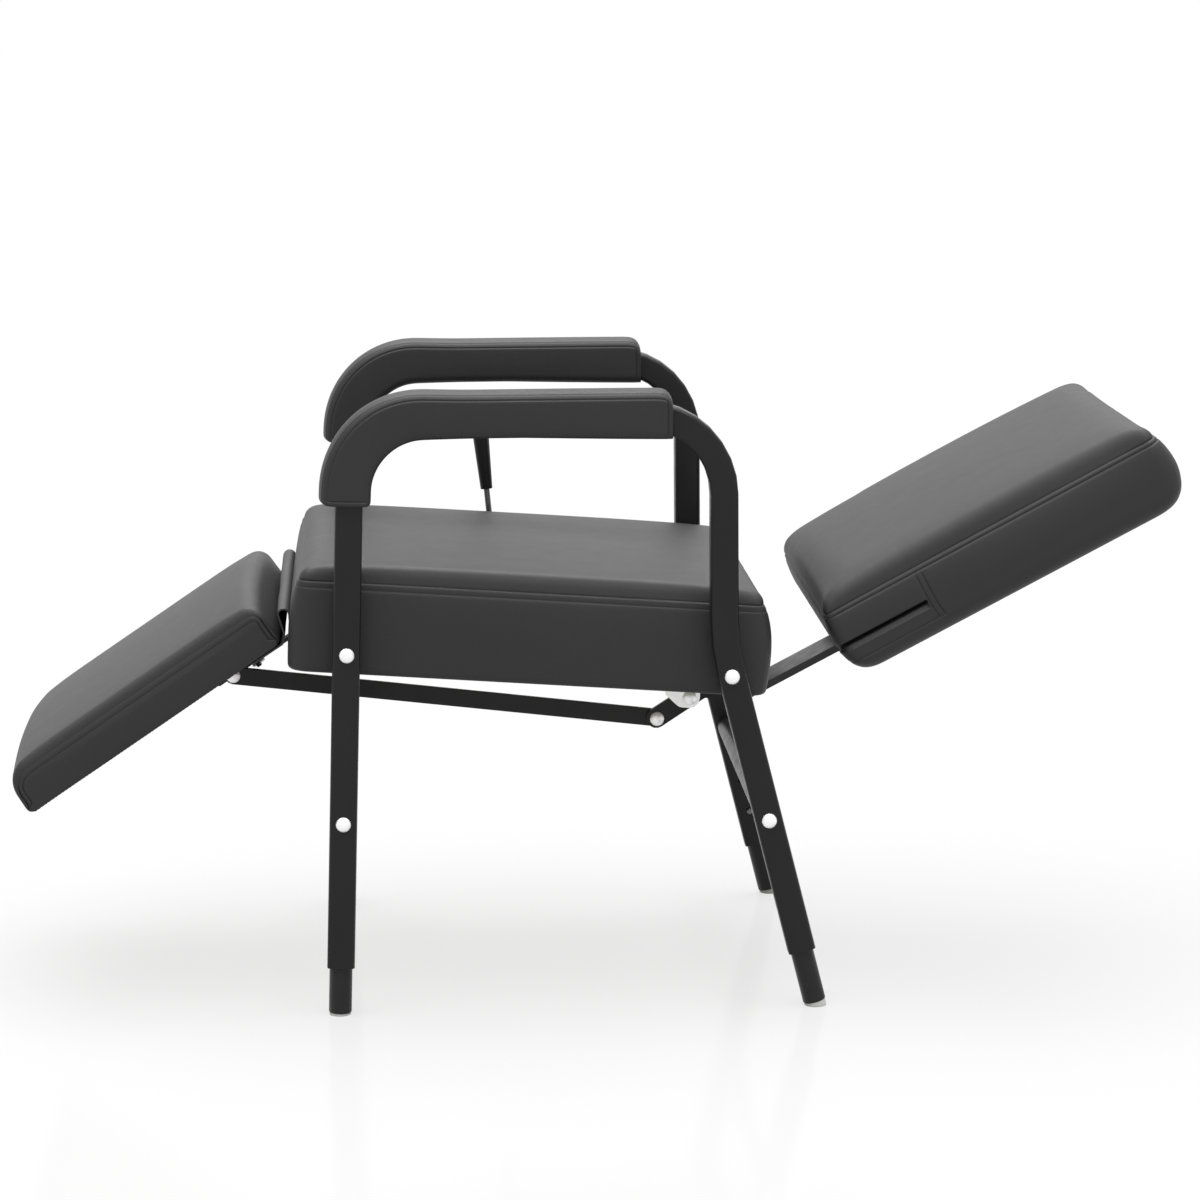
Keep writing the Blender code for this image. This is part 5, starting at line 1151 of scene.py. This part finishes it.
def seen_directly(tree):
    """1 for what the camera, a reflection or clear glass sees, and 0 for light on things."""
    path = tree.nodes.new("ShaderNodeLightPath")
    total = path.outputs["Is Camera Ray"]
    for name in ("Is Glossy Ray", "Is Transmission Ray"):
        node = tree.nodes.new("ShaderNodeMath")
        node.operation = "MAXIMUM"
        tree.links.new(total, node.inputs[0])
        tree.links.new(path.outputs[name], node.inputs[1])
        total = node.outputs["Value"]
    return total


def mix_shaders(tree, share, first, second):
    node = add_node(tree, "ShaderNodeMixShader", Fac=share)
    tree.links.new(first.outputs[0], node.inputs[1])
    tree.links.new(second.outputs[0], node.inputs[2])
    return node


def build_floor():
    """Pale floor that keeps shadows where it is seen, and throws a plain light back at the chair."""
    mesh = bpy.data.meshes.new("floor")
    reach = FLOOR_REACH
    mesh.from_pydata([(-reach, -reach, 0.0), (reach, -reach, 0.0),
                      (reach, reach, 0.0), (-reach, reach, 0.0)], [], [(0, 1, 2, 3)])
    floor = add_object("floor", mesh)
    material = bpy.data.materials.new("white_floor")
    tree = bare_tree(material)
    matt = add_node(tree, "ShaderNodeBsdfDiffuse", Color=(*grey(FLOOR_SHADE), 1.0))
    gloss = add_node(tree, "ShaderNodeBsdfGlossy", Roughness=FLOOR_GLOSS)
    glow = add_node(tree, "ShaderNodeEmission", Strength=FLOOR_GLOW)
    plain = add_node(tree, "ShaderNodeBsdfDiffuse", Color=(*grey(FLOOR_BOUNCE), 1.0))
    lit = tree.nodes.new("ShaderNodeAddShader")
    tree.links.new(mix_shaders(tree, FLOOR_SHINE, matt, gloss).outputs[0], lit.inputs[0])
    tree.links.new(glow.outputs[0], lit.inputs[1])
    shown = mix_shaders(tree, seen_directly(tree), plain, lit)
    add_node(tree, "ShaderNodeOutputMaterial", Surface=shown.outputs[0])
    mesh.materials.append(material)


def build_world():
    """White backdrop where it is seen, and a dimmer light on the chair."""
    world = bpy.data.worlds.new("studio")
    bpy.context.scene.world = world
    tree = bare_tree(world)
    white = (*grey(1.0), 1.0)
    fill = add_node(tree, "ShaderNodeBackground", Color=white, Strength=WORLD_FILL)
    backdrop = add_node(tree, "ShaderNodeBackground", Color=white, Strength=1.0)
    shown = mix_shaders(tree, seen_directly(tree), fill, backdrop)
    add_node(tree, "ShaderNodeOutputWorld", Surface=shown.outputs[0])


def build_lamps():
    for name, power, breadth, lean in LAMPS:
        lamp = bpy.data.lights.new(name, "SUN")
        lamp.energy = power
        lamp.angle = math.radians(breadth)
        light = add_object(name, lamp)
        light.location = (0.0, 0.0, LAMP_HEIGHT)
        light.rotation_euler = (math.radians(-lean), 0.0, 0.0)


def build_camera():
    lens = bpy.data.cameras.new("photo_camera")
    lens.sensor_width = SENSOR
    lens.sensor_fit = "HORIZONTAL"
    lens.lens = LENS
    lens.clip_end = CAMERA_FAR
    camera = add_object("photo_camera", lens)
    yaw = Matrix.Rotation(-CAMERA_YAW, 4, "Z")
    pitch = Matrix.Rotation(math.pi / 2.0 - CAMERA_PITCH, 4, "X")
    roll = Matrix.Rotation(CAMERA_ROLL, 4, "Z")
    camera.matrix_world = Matrix.Translation(CAMERA_PLACE) @ (yaw @ pitch @ roll)
    bpy.context.scene.camera = camera


finishes = {
    "vinyl": vinyl_finish(), "paint": paint_finish(), "wood": plywood_finish(),
    "zinc": even_finish("bright_zinc", (900.0, 3.0, (1.0, 0.25, 1.0)), (0.95, 0.99), (0.42, 0.52),
                        (0.05, 0.0001), cloud=(160.0, 4.0), metallic=0.85),
    "steel": even_finish("drawn_steel", (700.0, 4.0, (1.0, 1.0, 0.06)), (0.12, 0.21), (0.24, 0.38),
                         (0.08, 0.0001), metallic=0.9),
    "grip": even_finish("moulded_grip", (1400.0, 3.0), (0.0040, 0.0060), (0.34, 0.50),
                        (0.15, 0.0002), cloud=(30.0,), places=(0.35, 0.65), specular=0.25),
    "nylon": even_finish("pale_nylon", (90.0, 4.0), (0.62, 0.72), (0.42, 0.56), (0.08, 0.0003),
                         sheen=(700.0,), warm=0.01, specular=0.4)}
thread = even_finish("sewing_thread", (2600.0, 2.0, (1.0, 1.0, 3.0)), (0.016, 0.030), (0.55, 0.75),
                     (0.4, 0.0002), specular=0.3)
for node in NODES.values():
    slot = node.data.materials[0].name.split(".")[0]
    node.data.materials.clear()
    node.data.materials.append(finishes[slot])
    smooth_node(node)

build_seat(finishes["vinyl"], thread)
build_backrest(finishes["vinyl"], thread)
build_legrest(finishes["vinyl"], thread)
for side in ("left", "right"):
    build_arm_sleeve(side, finishes["vinyl"], thread)
build_flap(finishes["vinyl"])
for side in ("left", "right"):
    for end in ("front", "rear"):
        build_leaf(side + "_" + end, finishes["steel"])
bpy.context.scene.view_settings.view_transform = "Standard"
build_floor()
build_world()
build_lamps()
build_camera()
